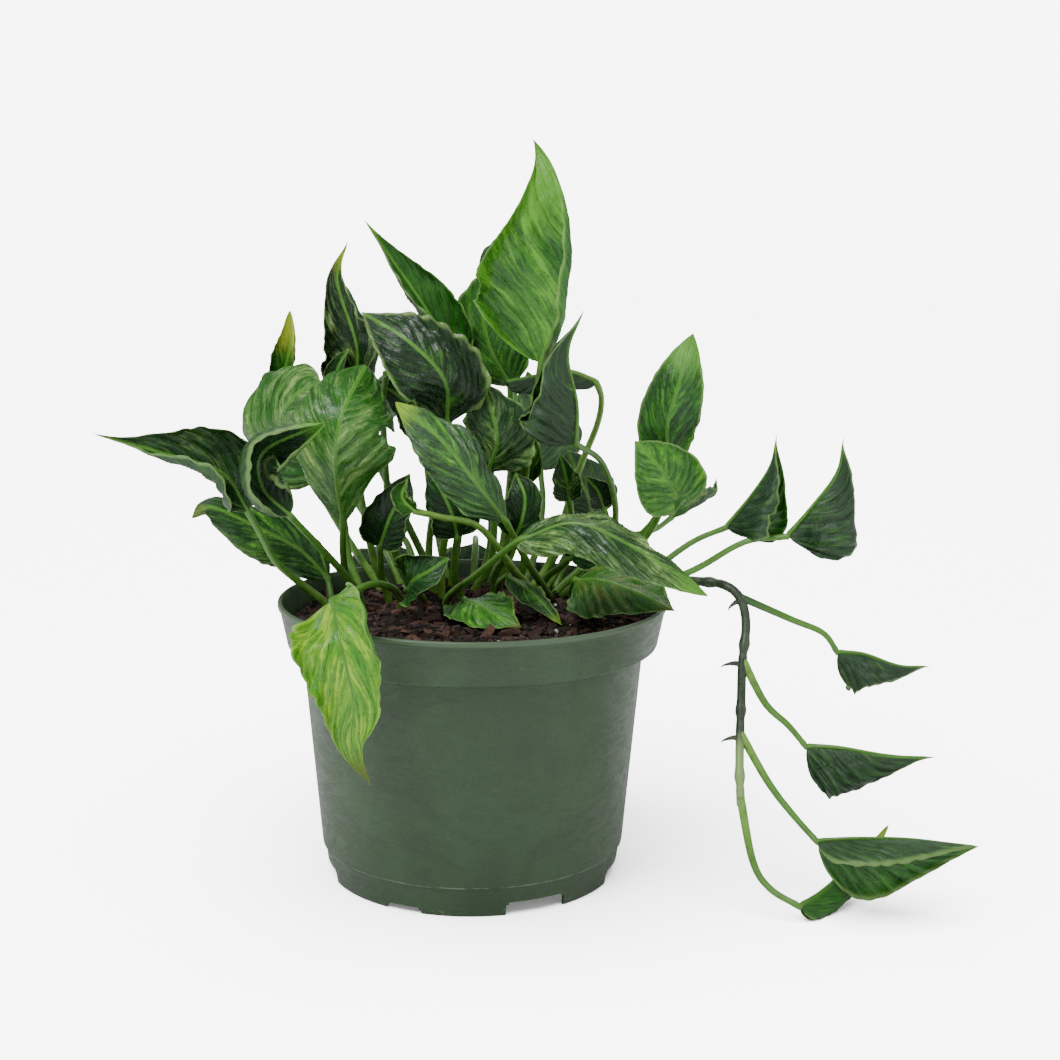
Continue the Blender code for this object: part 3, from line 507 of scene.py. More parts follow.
def add_node(tree, kind, inputs=None, **settings):
    made = tree.nodes.new("ShaderNode" + kind)
    for key, value in settings.items():
        setattr(made, key, value)
    feed(tree, made, inputs or {})
    return made


def attribute(tree, name):
    return add_node(tree, "Attribute", attribute_name=name).outputs["Fac"]


def maths(tree, operation, a, b=0.0):
    return add_node(tree, "Math", {0: a, 1: b}, operation=operation).outputs[0]


def times(tree, a, b):
    return maths(tree, "MULTIPLY", a, b)


def plus(tree, a, b):
    return maths(tree, "ADD", a, b)


def ramp(tree, value, low, high, to_low=0.0, to_high=1.0):
    """A smooth step from to_low to to_high as value goes from low to high."""
    if low > high:
        low, high, to_low, to_high = high, low, to_high, to_low
    return add_node(tree, "MapRange", {
        "Value": value, "From Min": low, "From Max": high, "To Min": to_low, "To Max": to_high,
    }, interpolation_type="SMOOTHSTEP").outputs["Result"]


def mixed(tree, share, a, b):
    a, b = (end if isinstance(end, bpy.types.NodeSocket) else (*end, 1) for end in (a, b))
    return add_node(tree, "Mix", {0: share, 6: a, 7: b}, data_type="RGBA").outputs[2]


def noise_value(tree, vector, scale, detail=3.0, roughness=0.55, distortion=0.0):
    return add_node(tree, "TexNoise", {
        "Vector": vector, "Scale": scale, "Detail": detail, "Roughness": roughness,
        "Distortion": distortion}).outputs["Fac"]


def object_place(tree):
    return add_node(tree, "TexCoord").outputs["Object"]


def dress(tree, shader, colour, roughness, height, strength, distance):
    """The shader's colour and roughness, and the fine relief of its surface."""
    relief = add_node(tree, "Bump", {
        "Height": height, "Strength": strength, "Distance": distance}).outputs["Normal"]
    feed(tree, shader, {"Base Color": colour, "Roughness": roughness, "Normal": relief})


# ------------------------------ materials
def blade_material(name, look, ground, marks, share, seed, under=False):
    """Marbled leaf: flecks drawn out along the side veins, a pale midrib, veins and margin."""
    mat, tree, shader = new_material(name)
    along, across = attribute(tree, "along"), attribute(tree, "across")
    rib, edge = attribute(tree, "rib_mm"), attribute(tree, "edge_mm")
    side = maths(tree, "ABSOLUTE", across)
    phase = maths(tree, "SUBTRACT", times(tree, along, float(VEINS)),
                  times(tree, side, VEINS * VEIN_SWEEP))
    place = object_place(tree)
    wander = noise_value(tree, place, 90.0, 2.0)
    phase = plus(tree, phase, times(tree, wander, 0.5))
    half = times(tree, maths(tree, "SIGN", across), 3.7)    # so that the halves aren't alike
    streak, splash = (add_node(tree, "CombineXYZ", {
        "X": times(tree, phase, lengthways), "Y": plus(tree, times(tree, side, outwards), half),
        "Z": depth}).outputs[0] for lengthways, outwards, depth in (
            (1.35, 1.15, seed % 97 * 1.7), (0.6, 1.1, seed % 89 * 2.3)))
    broad = noise_value(tree, splash, 1.2, 3.0, 0.55)
    flecks = noise_value(tree, streak, 2.5, 4.0, 0.62, 0.4)
    dashes = noise_value(tree, streak, 4.4, 2.0, 0.5)
    fine = noise_value(tree, place, 420.0, 3.0, 0.6)
    cover = plus(tree, times(tree, broad, 0.62),
                 plus(tree, times(tree, flecks, 0.68), times(tree, fine, 0.2)))
    level = 1.02 - share * 0.42
    middle = blend(ground, marks, 1 / 3)
    deeper = tuple(c * 0.5 for c in ground)
    colour = mixed(tree, ramp(tree, dashes, 0.36, 0.56), deeper, ground)
    colour = mixed(tree, ramp(tree, cover, level - 0.16, level), colour, middle)
    colour = mixed(tree, ramp(tree, cover, level - 0.01, level + 0.07), colour, marks)
    stripe = maths(tree, "ABSOLUTE", maths(tree, "SINE", times(tree, phase, math.pi)))
    vein = ramp(tree, stripe, 0.16, 0.02)
    vein_colour = blend(ground, marks if under else LIGHT, 0.65)
    colour = mixed(tree, times(tree, vein, 0.36 if under else 0.12), colour, vein_colour)
    colour = mixed(tree, ramp(tree, rib, 1.15, 0.35, 0, 0.5 if under else 0.75), colour, LIGHT)
    colour = mixed(tree, ramp(tree, edge, look.rim, look.rim * 0.3, 0, 0.45), colour, PALE)
    if look.tip > 0:
        uneven = plus(tree, along, times(tree, maths(tree, "SUBTRACT", flecks, 0.5), 0.25))
        reach = ramp(tree, uneven, 1 - look.tip - 0.08, 1 - look.tip * 0.35, 0, 0.9)
        colour = mixed(tree, reach, colour, look.tip_colour)
    gloss = (0.45, 0.6) if under else (0.24, 0.38)
    shader.inputs["Specular IOR Level"].default_value = 0.42
    height = plus(tree, times(tree, vein, 0.35 if under else -0.35),
                  plus(tree, times(tree, flecks, 0.8), times(tree, fine, 0.5)))
    dress(tree, shader, colour, ramp(tree, fine, 0.3, 0.7, *gloss), height, 0.75, 0.0009)
    return mat


def stalk_material(name, colour, foot_colour):
    """Waxy, faintly mottled stalk that takes another shade towards its foot."""
    mat, tree, shader = new_material(name)
    along = attribute(tree, "along")
    mottle = noise_value(tree, object_place(tree), 260.0, 3.0)
    shade = mixed(tree, ramp(tree, along, 0.0, 0.55), foot_colour, colour)
    darker = tuple(c * 0.55 for c in colour)
    shade = mixed(tree, ramp(tree, mottle, 0.42, 0.68, 0, 0.5), shade, darker)
    dress(tree, shader, shade, 0.38, mottle, 0.3, 0.0003)
    return mat


def stem_material():
    """Dark grey-green stem that turns pale green beyond its last node."""
    mat, tree, shader = new_material("stem_bark")
    along = attribute(tree, "along")
    mottle = noise_value(tree, object_place(tree), 330.0, 4.0, 0.65)
    dark = mixed(tree, ramp(tree, mottle, 0.35, 0.68), (0.017, 0.030, 0.015), (0.050, 0.075, 0.038))
    colour = mixed(tree, ramp(tree, along, 0.80, 0.87), dark, (0.20, 0.33, 0.10))
    dress(tree, shader, colour, 0.45, mottle, 0.25, 0.0004)
    return mat


def pot_material():
    """Dark green moulded plastic: a fine grain, pale scuffs on its edges, and painted highlights: a pale
    broken line along the step and a paler rim top.
    """
    mat, tree, shader = new_material("pot_moulded")
    place = object_place(tree)
    height = add_node(tree, "SeparateXYZ", {0: place}).outputs["Z"]
    grain = noise_value(tree, place, 1500.0, 2.0, 0.7)
    cloud = noise_value(tree, place, 28.0, 4.0, 0.6, 0.6)
    scratch = add_node(tree, "Mapping", {"Vector": place, "Scale": (1, 1, 3.5)}).outputs[0]
    rubbed = noise_value(tree, scratch, 95.0, 6.0, 0.72, 1.2)
    dusty = (0.15, 0.21, 0.13)
    colour = mixed(tree, ramp(tree, cloud, 0.35, 0.65), (0.014, 0.043, 0.011), (0.021, 0.059, 0.017))
    colour = mixed(tree, ramp(tree, grain, 0.60, 0.78, 0, 0.22), colour, dusty)
    low = ramp(tree, height, 0.016, 0.001)
    band = times(tree, ramp(tree, height, 0.097, 0.101), ramp(tree, height, 0.1165, 0.112))
    worn = plus(tree, times(tree, low, 0.10), times(tree, band, 0.035))
    scuff = ramp(tree, plus(tree, rubbed, worn), 0.665, 0.76, 0, 0.55)
    colour = mixed(tree, scuff, colour, dusty)
    # A pale broken line along the step's edge: painted highlight.
    line = maths(tree, "ABSOLUTE", maths(tree, "SUBTRACT", height, (STEP_HEIGHT + 0.15) * MM))
    broken = ramp(tree, noise_value(tree, scratch, 160.0, 3.0), 0.38, 0.58)
    painted_step_highlight = times(tree, ramp(tree, line, 0.00055, 0.0002), broken)
    colour = mixed(tree, times(tree, painted_step_highlight, 0.5), colour, (0.33, 0.38, 0.30))
    # The rim's top is made paler: painted highlight.
    painted_rim_highlight = ramp(tree, height, (POT_HEIGHT - 2.3) * MM, (POT_HEIGHT - 1.6) * MM, 0, 0.35)
    colour = mixed(tree, painted_rim_highlight, colour, (0.13, 0.19, 0.115))
    dress(tree, shader, colour, ramp(tree, rubbed, 0.3, 0.7, 0.40, 0.58),
          plus(tree, grain, times(tree, rubbed, 0.7)), 0.25, 0.0003)
    return mat


def soil_material():
    mat, tree, shader = new_material("peat")
    place = object_place(tree)
    lump = noise_value(tree, place, 220.0, 5.0, 0.7)
    crumb = noise_value(tree, place, 900.0, 3.0, 0.7)
    colour = mixed(tree, ramp(tree, lump, 0.38, 0.66), (0.005, 0.0035, 0.003), (0.026, 0.016, 0.011))
    colour = mixed(tree, ramp(tree, crumb, 0.62, 0.75, 0, 0.5), colour, (0.075, 0.042, 0.027))
    dress(tree, shader, colour, 0.95, plus(tree, lump, crumb), 0.9, 0.0016)
    return mat


def chip_material(name, dark, light):
    """Each chip takes its own shade between two colours."""
    mat, tree, shader = new_material(name)
    piece = add_node(tree, "NewGeometry").outputs["Random Per Island"]
    fibre = noise_value(tree, object_place(tree), 700.0, 4.0, 0.7)
    colour = mixed(tree, ramp(tree, piece, 0.1, 0.95), dark, light)
    colour = mixed(tree, ramp(tree, fibre, 0.45, 0.7, 0, 0.6), colour, tuple(c * 0.35 for c in dark))
    dress(tree, shader, colour, 0.85, fibre, 0.6, 0.0006)
    return mat


# ------------------------------ piece helpers
def add_piece(name, mesh, materials, slot, *nodes):
    """A piece in place round the pot's axis, riding on the one body."""
    piece = bpy.data.objects.new(name, mesh)
    bpy.context.scene.collection.objects.link(piece)
    for mat in materials:
        mesh.materials.append(mat)
    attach(piece, "root")
    if nodes:
        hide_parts(*nodes)
    return piece


def mesh_from(name, points, faces, indices=None, smooth=True):
    mesh = bpy.data.meshes.new(name)
    placed = np.asarray(points) * MM + np.array(AXIS)
    mesh.from_pydata(placed.tolist(), [], faces)
    if indices is not None:
        mesh.polygons.foreach_set("material_index", indices)
    mesh.polygons.foreach_set("use_smooth", [smooth] * len(mesh.polygons))
    mesh.update()
    return mesh


def set_attribute(mesh, name, values):
    layer = mesh.attributes.new(name, "FLOAT", "POINT")
    layer.data.foreach_set("value", np.asarray(values, np.float32))


def grid_faces(rows, columns, around=False):
    """Quads between points laid out row by row; around joins each row's ends."""
    faces = []
    for i in range(rows - 1):
        for j in range(columns if around else columns - 1):
            k = (j + 1) % columns
            faces.append((i * columns + j, i * columns + k, (i + 1) * columns + k, (i + 1) * columns + j))
    return faces


def moved(faces, start):
    return [tuple(start + k for k in face) for face in faces]


def tube(path, radii, sides, groove=0.0, up=(0, 1, 0.2)):
    """Points and faces of a closed tube; groove sinks a channel along its upper side."""
    run = directions(path)
    side = unit(np.cross(run[0], up))
    points = []
    for point, along, radius in zip(path, run, radii):
        side = unit(side - along * np.dot(side, along))
        over = np.cross(side, along)
        for j in range(sides):
            angle = math.tau * j / sides
            dip = 1 - groove * max(0.0, math.sin(angle)) ** 4
            points.append(point + (side * -math.cos(angle) + over * math.sin(angle)) * radius * dip)
    faces = grid_faces(len(path), sides, around=True)
    faces.append(tuple(range(sides - 1, -1, -1)))
    faces.append(tuple(range(len(points) - sides, len(points))))
    return points, faces


# ------------------------------ leaves
noise_grid = np.vectorize(lambda x, y, z: noise.noise(Vector((x, y, z))), otypes=[float])


def crinkled_sheet(leaf, look, seed):
    """The blade's middle sheet with its crinkles, and what the materials need to know of it."""
    chance = random.Random(seed)
    t = np.linspace(0, 1, BLADE_ROWS + 1)
    along = np.clip(t - 0.09 * np.sin(math.tau * t), 0.004, 0.996)
    across = np.linspace(-1, 1, BLADE_COLUMNS + 1)
    across = np.sign(across) * np.abs(across) ** 0.92
    rows, widths = zip(*(blade_row(leaf, frame_at, u, across)
                         for u, frame_at in zip(along, blade_frames(leaf, along))))
    sheet, width = np.array(rows), np.array(widths)
    u = np.repeat(along[:, None], len(across), 1)
    v = np.repeat(across[None, :], len(along), 0)
    share = np.abs(v)
    length = np.linalg.norm(np.diff(smooth_path(leaf.rib, 40), axis=0), axis=1).sum()
    shift = chance.uniform(0, 50)
    fold = noise_grid(u * length / FOLD_SIZE[0], v * width / FOLD_SIZE[1] + shift, shift)
    blister = noise_grid(u * length / BLISTER_SIZE[0], v * width / BLISTER_SIZE[1] + shift, shift * 2)
    phase = VEINS * (u - VEIN_SWEEP * share) + 0.4 * fold
    size = np.clip(width / 14, 0, 1.2)
    inner = np.clip((share * width - 0.8) / 5, 0, 1) ** 1.3
    bumps = VEIN_RIDGE * np.sin(math.tau * phase) + FOLD_HEIGHT * fold + BLISTER_HEIGHT * blister
    lift = look.crinkle * bumps * inner * size
    turn = chance.uniform(0, math.tau)
    waves = np.sin(math.tau * 2.1 * u + turn + (v > 0) * 1.9)
    waves += 0.5 * np.sin(math.tau * 4.7 * u + turn * 3)
    lift += look.ruffle * RUFFLE * width * share ** 3 * waves
    lift += look.roll * ROLL * width * (np.clip(share - ROLL_START, 0, 1) / (1 - ROLL_START)) ** 1.8
    lift -= 0.35 * np.exp(-(share * width / 1.1) ** 2)      # the channel over the midrib
    ends = np.clip(u / 0.08, 0, 1) * np.clip((1 - u) / 0.04, 0, 1)
    ragged = noise_grid(u * length / RAG_LENGTH, np.sign(v) * 9, shift * 3)
    inward = share ** 5 * look.ruffle * RAG * width * np.clip(0.45 + 1.1 * ragged, 0, 1.2)
    outward = np.gradient(sheet, axis=1)
    outward *= (np.sign(v) / (np.linalg.norm(outward, axis=2) + 1e-9))[..., None]
    sheet += sheet_normals(sheet) * (lift * ends)[..., None] - outward * (inward * ends)[..., None]
    return sheet, u, v, share * width, (1 - share) * width


def sheet_normals(sheet):
    normal = np.cross(np.gradient(sheet, axis=1), np.gradient(sheet, axis=0))
    return normal / (np.linalg.norm(normal, axis=2)[..., None] + 1e-9)


def grown_leaf(name, leaf, look, seed):
    """One leaf: a grooved stalk that runs on as the midrib, under a thin crinkled blade."""
    sheet, u, v, rib, edge = crinkled_sheet(leaf, look, seed)
    rows, columns = sheet.shape[:2]
    normal = sheet_normals(sheet)
    thickness = SHEET * np.clip(edge / 0.8, 0.35, 1)
    top = sheet + normal * thickness[..., None]
    bottom = sheet - normal * thickness[..., None]
    count = rows * columns
    upper = grid_faces(rows, columns)
    lower = [(count + a, count + d, count + c, count + b) for a, b, c, d in upper]
    number = np.arange(count).reshape(rows, columns)
    border = [*number[:, 0], *number[-1, 1:], *number[-2::-1, -1], *number[0, -2:0:-1]]
    edges = [(a, b, count + b, count + a) for a, b in zip(border, border[1:] + border[:1])]

    start = rooted(leaf.stalk)
    if len(leaf.stalk[0]) == 3:      # it grows out of the trailing stem
        stem = smooth_path(rooted(VINE), STEM_STATIONS)
        start[0] = stem[np.argmin(np.linalg.norm(stem - start[0], axis=1)) - 3]
    stalk = smooth_path(start + [leaf.rib[0]], STALK_STATIONS)
    frames = blade_frames(leaf, np.linspace(0, 0.97, STALK_STATIONS)[1:])
    share = np.linspace(0, 1, len(stalk))
    fade = np.linspace(1, 0.12, len(frames))
    below = [f[0] - f[3] * (STALK_NECK_RADIUS * 0.42 * a ** 0.7) for f, a in zip(frames, fade)]
    radii = np.r_[STALK_FOOT_RADIUS + (STALK_NECK_RADIUS - STALK_FOOT_RADIUS) * share,
                  STALK_NECK_RADIUS * 0.78 * fade]
    radii[len(stalk) - 3:len(stalk) + 2] *= (1.0, 1.12, 1.2, 1.1, 1.0)     # the joint at the neck
    tube_points, tube_faces = tube(np.vstack([stalk, below]), radii, STALK_SIDES, STALK_GROOVE, leaf.face)

    points = np.vstack([top.reshape(-1, 3), bottom.reshape(-1, 3), tube_points])
    points[:, 2] = np.maximum(points[:, 2], 0)
    indices = [0] * len(upper) + [1] * len(lower + edges) + [2] * len(tube_faces)
    mesh = mesh_from(name, points, upper + lower + edges + moved(tube_faces, 2 * count), indices)
    stalk_share = np.repeat(np.r_[share, np.ones(len(below))], STALK_SIDES)
    zero = np.zeros(len(tube_points))
    set_attribute(mesh, "along", np.r_[u.ravel(), u.ravel(), stalk_share])
    set_attribute(mesh, "across", np.r_[v.ravel(), v.ravel(), zero])
    set_attribute(mesh, "rib_mm", np.r_[rib.ravel(), rib.ravel(), zero])
    set_attribute(mesh, "edge_mm", np.r_[edge.ravel(), edge.ravel(), zero + 9])
    return mesh


def make_leaf(name, leaf):
    look = LOOKS.get(name, Look())
    seed = sum(ord(letter) * (k + 3) for k, letter in enumerate(name))
    mesh = grown_leaf(name + "_mesh", leaf, look, seed)
    upper = blade_material(name + "_upper", look, look.ground, look.marks, look.share, seed)
    dull = blend(look.under, GREY_GREEN, 0.25)
    veined = blend(look.under, LIGHT, 0.5)
    under = blade_material(name + "_under", look, dull, veined, look.share * 0.8, seed + 1, under=True)
    foot = STALK_DARK if name == "vine_leaf_1" else STALK_PALE
    stalk = stalk_material(name + "_stalk", look.stalk, foot)
    add_piece(name + "_grown", mesh, (upper, under, stalk), name, name)


# ------------------------------ trailing stem
# Root stubs at the stem's nodes: from the stem's middle to the stub's tip.
STUBS = [((113, -8, 118), (108, -11, 116)), ((113, -18, 93), (105, -19, 93)),
         ((111.5, -30, 64.5), (104, -31, 64))]
STEM_NODES = (0.36, 0.585, 0.755, 0.925)


def make_stem():
    path = smooth_path(rooted(VINE), STEM_STATIONS)
    share = np.linspace(0, 1, len(path))
    radii = VINE_RADIUS * (1 - 0.14 * share)
    for place in STEM_NODES:
        radii += 0.5 * np.exp(-((share - place) / 0.014) ** 2)
        radii -= 0.2 * np.exp(-((share - place - 0.024) / 0.007) ** 2)
    points, faces = tube(path, radii, STEM_SIDES)
    marks = list(np.repeat(share, STEM_SIDES))
    for root, tip in STUBS:
        root, tip = np.array(root, float), np.array(tip, float)
        bent = [root, (root + tip) / 2 + (0, 0, 0.7), tip, tip + (tip - root) * 0.12 + (0, 0, -0.9)]
        line = smooth_path(bent, 14)
        more, more_faces = tube(line, np.linspace(1.5, 0.25, len(line)), STUB_SIDES)
        faces += moved(more_faces, len(points))
        points += more
        marks += [0.3] * len(more)
    mesh = mesh_from("stem_mesh", points, faces)
    set_attribute(mesh, "along", marks)
    add_piece("stem_grown", mesh, (stem_material(),), "stem", "trailing_stem")


# ------------------------------ pot
def pot_profile():
    """(radius, height) points from the inside floor's middle, over the rim, to the underside's."""
    floor = BASE_HEIGHT + 1.5
    ledge = BAND_BOTTOM + WALL

    def corner(radius, height, *steps):
        return [(radius + out, height + rise) for out, rise in steps]

    return [
        (0.01, floor), (20, floor),
        *corner(SKIRT_TOP_RADIUS - WALL, floor, (-2, 0), (0, 2)),
        *corner(WALL_TOP_RADIUS - WALL, ledge, (0, -1.5), (0.8, 0)),
        *corner(BAND_RADIUS - WALL, ledge, (-0.6, 0), (0.3, 1)),
        *((RIM_RADIUS - 1 + math.cos(a), POT_HEIGHT - 1 + math.sin(a))
          for a in np.radians(np.linspace(150, -20, 9))),
        *corner(RIM_RADIUS, POT_HEIGHT, (-0.05, -2.2), (-0.35, -2.8), (-0.95, -3.3)),
        *corner(BAND_RADIUS, BAND_BOTTOM, (0.3, 1.2), (-0.1, 0.45), (-0.7, 0)),
        *corner(WALL_TOP_RADIUS, BAND_BOTTOM, (1, 0), (0.25, -0.3), (-0.05, -1.2)),
        *corner(STEP_RADIUS, STEP_HEIGHT, (0.05, 0.9), (-0.15, 0.35)),
        *corner(SKIRT_TOP_RADIUS, STEP_HEIGHT, (0.35, 0), (0, -0.35)),
        *corner(FOOT_RADIUS, 0, (0.05, 0.5), (-0.35, 0), (-WALL, 0)),
        (FOOT_RADIUS - WALL + 0.7, BASE_HEIGHT), (0.01, BASE_HEIGHT)]


def turned_mesh(profile, segments):
    points = [(r * math.cos(a), r * math.sin(a), z)
              for a in np.linspace(0, math.tau, segments, endpoint=False) for r, z in profile]
    faces = grid_faces(segments + 1, len(profile))
    return points, [tuple(k % len(points) for k in face) for face in faces]


def pot_cutters():
    """Notches through the skirt, with rounded corners, and the drain holes."""
    tools = []
    for i in range(NOTCH_COUNT):
        width, height = SMALL_NOTCH_SIZE if i == SMALL_NOTCH else NOTCH_SIZE
        tool = bmesh.new()
        turn = Matrix.Rotation(math.radians(NOTCH_FIRST) + i * math.tau / NOTCH_COUNT, 4, "Z")
        shape = turn @ Matrix.Translation((FOOT_RADIUS * MM, 0, 0)) @ Matrix.Diagonal(
            (8 * MM, width * MM, 2 * height * MM, 1))
        bmesh.ops.create_cube(tool, size=1, matrix=shape)
        across = [e for e in tool.edges
                  if abs((e.verts[0].co - e.verts[1].co).z) < 1e-6
                  and abs((e.verts[0].co - e.verts[1].co).length - 8 * MM) < 1e-5]
        bmesh.ops.bevel(tool, geom=across, offset=1.1 * MM, segments=3, affect="EDGES")
        tools.append(tool)
    for i in range(NOTCH_COUNT):
        tool = bmesh.new()
        turn = Matrix.Rotation((i + 0.5) * math.tau / NOTCH_COUNT, 4, "Z")
        place = turn @ Matrix.Translation((DRAIN_RING * MM, 0, (BASE_HEIGHT + 0.75) * MM))
        bmesh.ops.create_cone(tool, cap_ends=True, segments=32, radius1=DRAIN_RADIUS * MM,
                              radius2=DRAIN_RADIUS * MM, depth=6 * MM, matrix=place)
        tools.append(tool)
    return tools


def make_pot():
    points, faces = turned_mesh(pot_profile(), POT_SEGMENTS)
    mesh = mesh_from("pot_mesh", points, faces)
    bm = bmesh.new()
    bm.from_mesh(mesh)
    bmesh.ops.remove_doubles(bm, verts=bm.verts, dist=0.00005)
    bmesh.ops.recalc_face_normals(bm, faces=bm.faces)
    bm.to_mesh(mesh)
    bm.free()
    blank = bpy.data.objects.new("pot_blank", mesh)
    bpy.context.scene.collection.objects.link(blank)
    group = bpy.data.collections.new("pot_tools")
    bpy.context.scene.collection.children.link(group)
    for i, tool in enumerate(pot_cutters()):
        tool_mesh = bpy.data.meshes.new(f"pot_tool_{i}")
        tool.to_mesh(tool_mesh)
        tool.free()
        cutter = bpy.data.objects.new(f"pot_tool_{i}", tool_mesh)
        cutter.location = AXIS
        group.objects.link(cutter)
    cut = blank.modifiers.new("cut", "BOOLEAN")
    cut.operand_type = "COLLECTION"
    cut.collection = group
    cut.solver = "EXACT"
    bpy.context.view_layer.update()
    finished = bpy.data.meshes.new_from_object(blank.evaluated_get(bpy.context.evaluated_depsgraph_get()))
    for spare in [*group.objects, blank]:
        bpy.data.objects.remove(spare, do_unlink=True)
    bpy.data.collections.remove(group)
    finished.polygons.foreach_set("use_smooth", [True] * len(finished.polygons))
    finished.set_sharp_from_angle(angle=math.radians(42))
    add_piece("pot_moulded", finished, (pot_material(),), "pot_plastic", "pot")


# ------------------------------ soil
def soil_height(x, y):
    spot = Vector((x, y, 0))
    return (SOIL_LEVEL + 1.1 + 1.5 * noise.noise(spot / 16) + 1.3 * noise.noise(spot / 5.5)
            + 0.7 * noise.noise(spot / 2.2))


def make_soil():
    """A lumpy surface over the soil's own solid, which stays and takes the same material."""
    material = soil_material()
    solid = frame["nodes"]["soil"]
    solid.data.materials.clear()
    solid.data.materials.append(material)
    points = []
    for i in range(SOIL_RINGS + 1):
        radius = 0.2 + (SOIL_RADIUS - 0.2) * i / SOIL_RINGS
        for j in range(SOIL_SEGMENTS):
            a = math.tau * j / SOIL_SEGMENTS
            x, y = radius * math.cos(a), radius * math.sin(a)
            points.append((x, y, soil_height(x, y) - (6 if i == SOIL_RINGS else 0)))
    rings = grid_faces(SOIL_RINGS + 1, SOIL_SEGMENTS, around=True)
    faces = [(a, d, c, b) for a, b, c, d in rings] + [tuple(range(SOIL_SEGMENTS))]
    add_piece("soil_surface", mesh_from("soil_surface", points, faces), (material,), "peat_soil")


def shards(name, count, seed, low, high, flat, reach, material, lift):
    """Loose, irregular bits strewn over the soil, low to high mm long and no two alike."""
    chance = random.Random(seed)
    corners = [(x, y, z) for x in (-1, 1) for y in (-1, 1) for z in (-1, 1)]
    sides = [(0, 1, 3, 2), (4, 6, 7, 5), (0, 4, 5, 1), (2, 3, 7, 6), (0, 2, 6, 4), (1, 5, 7, 3)]
    points, faces = [], []
    for _ in range(count):
        radius = reach * math.sqrt(chance.random())
        a = chance.uniform(0, math.tau)
        x, y = radius * math.cos(a), radius * math.sin(a)
        length = chance.uniform(low, high)
        broad = length * chance.uniform(0.35, 0.7)
        size = Vector((length, broad, length * flat * chance.uniform(0.7, 1.4))) / 2
        lean = (chance.gauss(0, 0.35), chance.gauss(0, 0.35), chance.uniform(0, math.tau))
        turn = Euler(lean).to_matrix()
        where = Vector((x, y, soil_height(x, y) + size.z * lift))
        start = len(points)
        for corner in corners:
            wobble = [c * s * chance.uniform(0.55, 1.15) for c, s in zip(corner, size)]
            points.append(where + turn @ Vector(wobble))
        faces += moved(sides, start)
    add_piece(name, mesh_from(name, points, faces, smooth=False), (material,), "peat_soil")


def make_litter():
    bark = chip_material("bark", (0.020, 0.009, 0.006), (0.11, 0.050, 0.031))
    crumb = chip_material("crumb", (0.008, 0.005, 0.004), (0.045, 0.026, 0.018))
    stone = chip_material("perlite", (0.42, 0.40, 0.36), (0.72, 0.70, 0.66))
    shards("bark_chips", 520, 5, 3.0, 9.5, 0.24, 75.0, bark, 0.7)
    shards("peat_crumbs", 1900, 11, 1.0, 3.4, 0.7, 76.0, crumb, 0.4)
    shards("perlite_bits", 46, 23, 1.1, 2.3, 0.8, 75.0, stone, 0.6)


# ------------------------------ floor, light and camera
BACKDROP_STRENGTH = 7.4  # as bright as the lit floor, so that no horizon shows
WORLD_STRENGTH = 0.5     # the light that comes from all round
FLOOR_GLOW = 0.2         # light of its own that the floor shows to the eye only
FLOOR_SEEN = 0.92        # how white the floor is to the eye
FLOOR_BOUNCE = 0.2       # how white it is to the light that it throws back at the plant
FLOOR_SUN = 22.0         # a wide soft light that only the floor receives, for the shadows on it
SUN_WIDTH = 75           # degrees
SUN_TILT = (8, -10, 0)
# Lamps: place in metres, power in watts, width in metres; they aim at the pot's rim.
LAMPS = {"key": ((-0.55, -0.75, 1.25), 20, 0.5), "fill": ((1.1, -0.5, 0.8), 4, 0.8),
         "back": ((0.1, 1.2, 1.1), 7, 0.9)}
LAMP_TARGET = Vector((0, 0, 0.12))


def to_the_eye(tree, end, other, seen):
    """Ends a tree with one shader for what the camera sees and another for all other light."""
    eye = add_node(tree, "LightPath").outputs["Is Camera Ray"]
    choice = add_node(tree, "MixShader", {0: eye, 1: other, 2: seen})
    tree.links.new(choice.outputs[0], tree.nodes[end].inputs["Surface"])


def make_floor():
    bpy.ops.mesh.primitive_plane_add(size=9, location=(0, 2, -0.0002))
    floor = bpy.context.object
    floor.name = "studio_floor"
    mat, tree, shader = new_material("studio_white")
    tree.nodes.remove(shader)
    white, grey = (add_node(tree, "BsdfDiffuse", {"Color": (c, c, c, 1)}).outputs[0]
                   for c in (FLOOR_SEEN, FLOOR_BOUNCE))
    glow = add_node(tree, "Emission", {"Color": (1, 1, 1, 1), "Strength": FLOOR_GLOW})
    bright = add_node(tree, "AddShader", {0: white, 1: glow.outputs[0]})
    to_the_eye(tree, "Material Output", grey, bright.outputs[0])
    floor.data.materials.append(mat)
    return floor


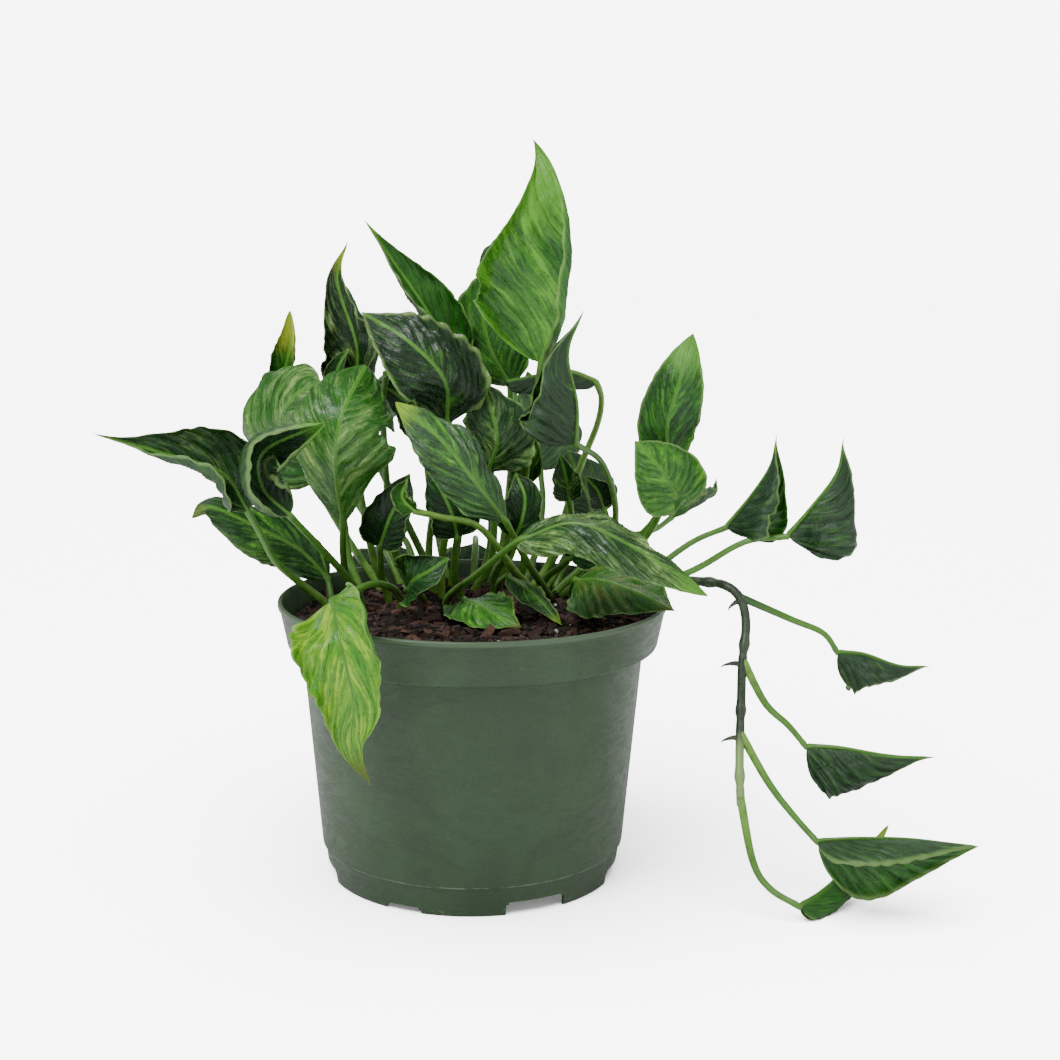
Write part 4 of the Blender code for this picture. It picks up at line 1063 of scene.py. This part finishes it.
def add_lamp(name, kind, power):
    light = bpy.data.lights.new(name, kind)
    light.energy = power
    lamp = bpy.data.objects.new(name, light)
    bpy.context.scene.collection.objects.link(lamp)
    return lamp


def make_stage():
    lit = bpy.data.collections.new("floor_only")
    lit.objects.link(make_floor())
    sun = add_lamp("floor_sun", "SUN", FLOOR_SUN)
    sun.data.angle = math.radians(SUN_WIDTH)
    sun.rotation_euler = [math.radians(angle) for angle in SUN_TILT]
    sun.light_linking.receiver_collection = lit
    world = bpy.data.worlds.new("studio")
    bpy.context.scene.world = world
    world.use_nodes = True
    tree = world.node_tree
    tree.nodes.remove(tree.nodes["Background"])
    around, backdrop = (add_node(tree, "Background", {
        "Color": (1, 1, 1, 1), "Strength": strength}).outputs[0]
        for strength in (WORLD_STRENGTH, BACKDROP_STRENGTH))
    to_the_eye(tree, "World Output", around, backdrop)
    for name, (place, power, size) in LAMPS.items():
        lamp = add_lamp(name, "AREA", power)
        lamp.data.size = size
        lamp.location = place
        lamp.rotation_euler = (LAMP_TARGET - Vector(place)).to_track_quat("-Z", "Y").to_euler()


CAMERA_PLACE = (0, -726.16, 277.24)
CAMERA_DOWN = 10.159     # degrees below level
CAMERA_YAW = 1.89        # degrees towards +X
CAMERA_ROLL = 0.433      # degrees
CAMERA_LENS = 59.26      # mm, on a 36 mm sensor


def make_camera():
    down, yaw = math.radians(CAMERA_DOWN), math.radians(CAMERA_YAW)
    aim = Vector((math.sin(yaw) * math.cos(down), math.cos(yaw) * math.cos(down), -math.sin(down)))
    turn = aim.to_track_quat("-Z", "Y").to_matrix().to_4x4()
    data = bpy.data.cameras.new("camera")
    data.lens = CAMERA_LENS
    data.sensor_width = 36
    camera = bpy.data.objects.new("camera", data)
    bpy.context.scene.collection.objects.link(camera)
    roll = Matrix.Rotation(math.radians(CAMERA_ROLL), 4, "Z")
    camera.matrix_world = Matrix.Translation(Vector(CAMERA_PLACE) * MM + AXIS) @ turn @ roll
    bpy.context.scene.camera = camera


def main():
    make_camera()
    make_stage()
    make_pot()
    make_soil()
    make_litter()
    make_stem()
    for name, leaf in LEAVES.items():
        make_leaf(name, leaf)


main()
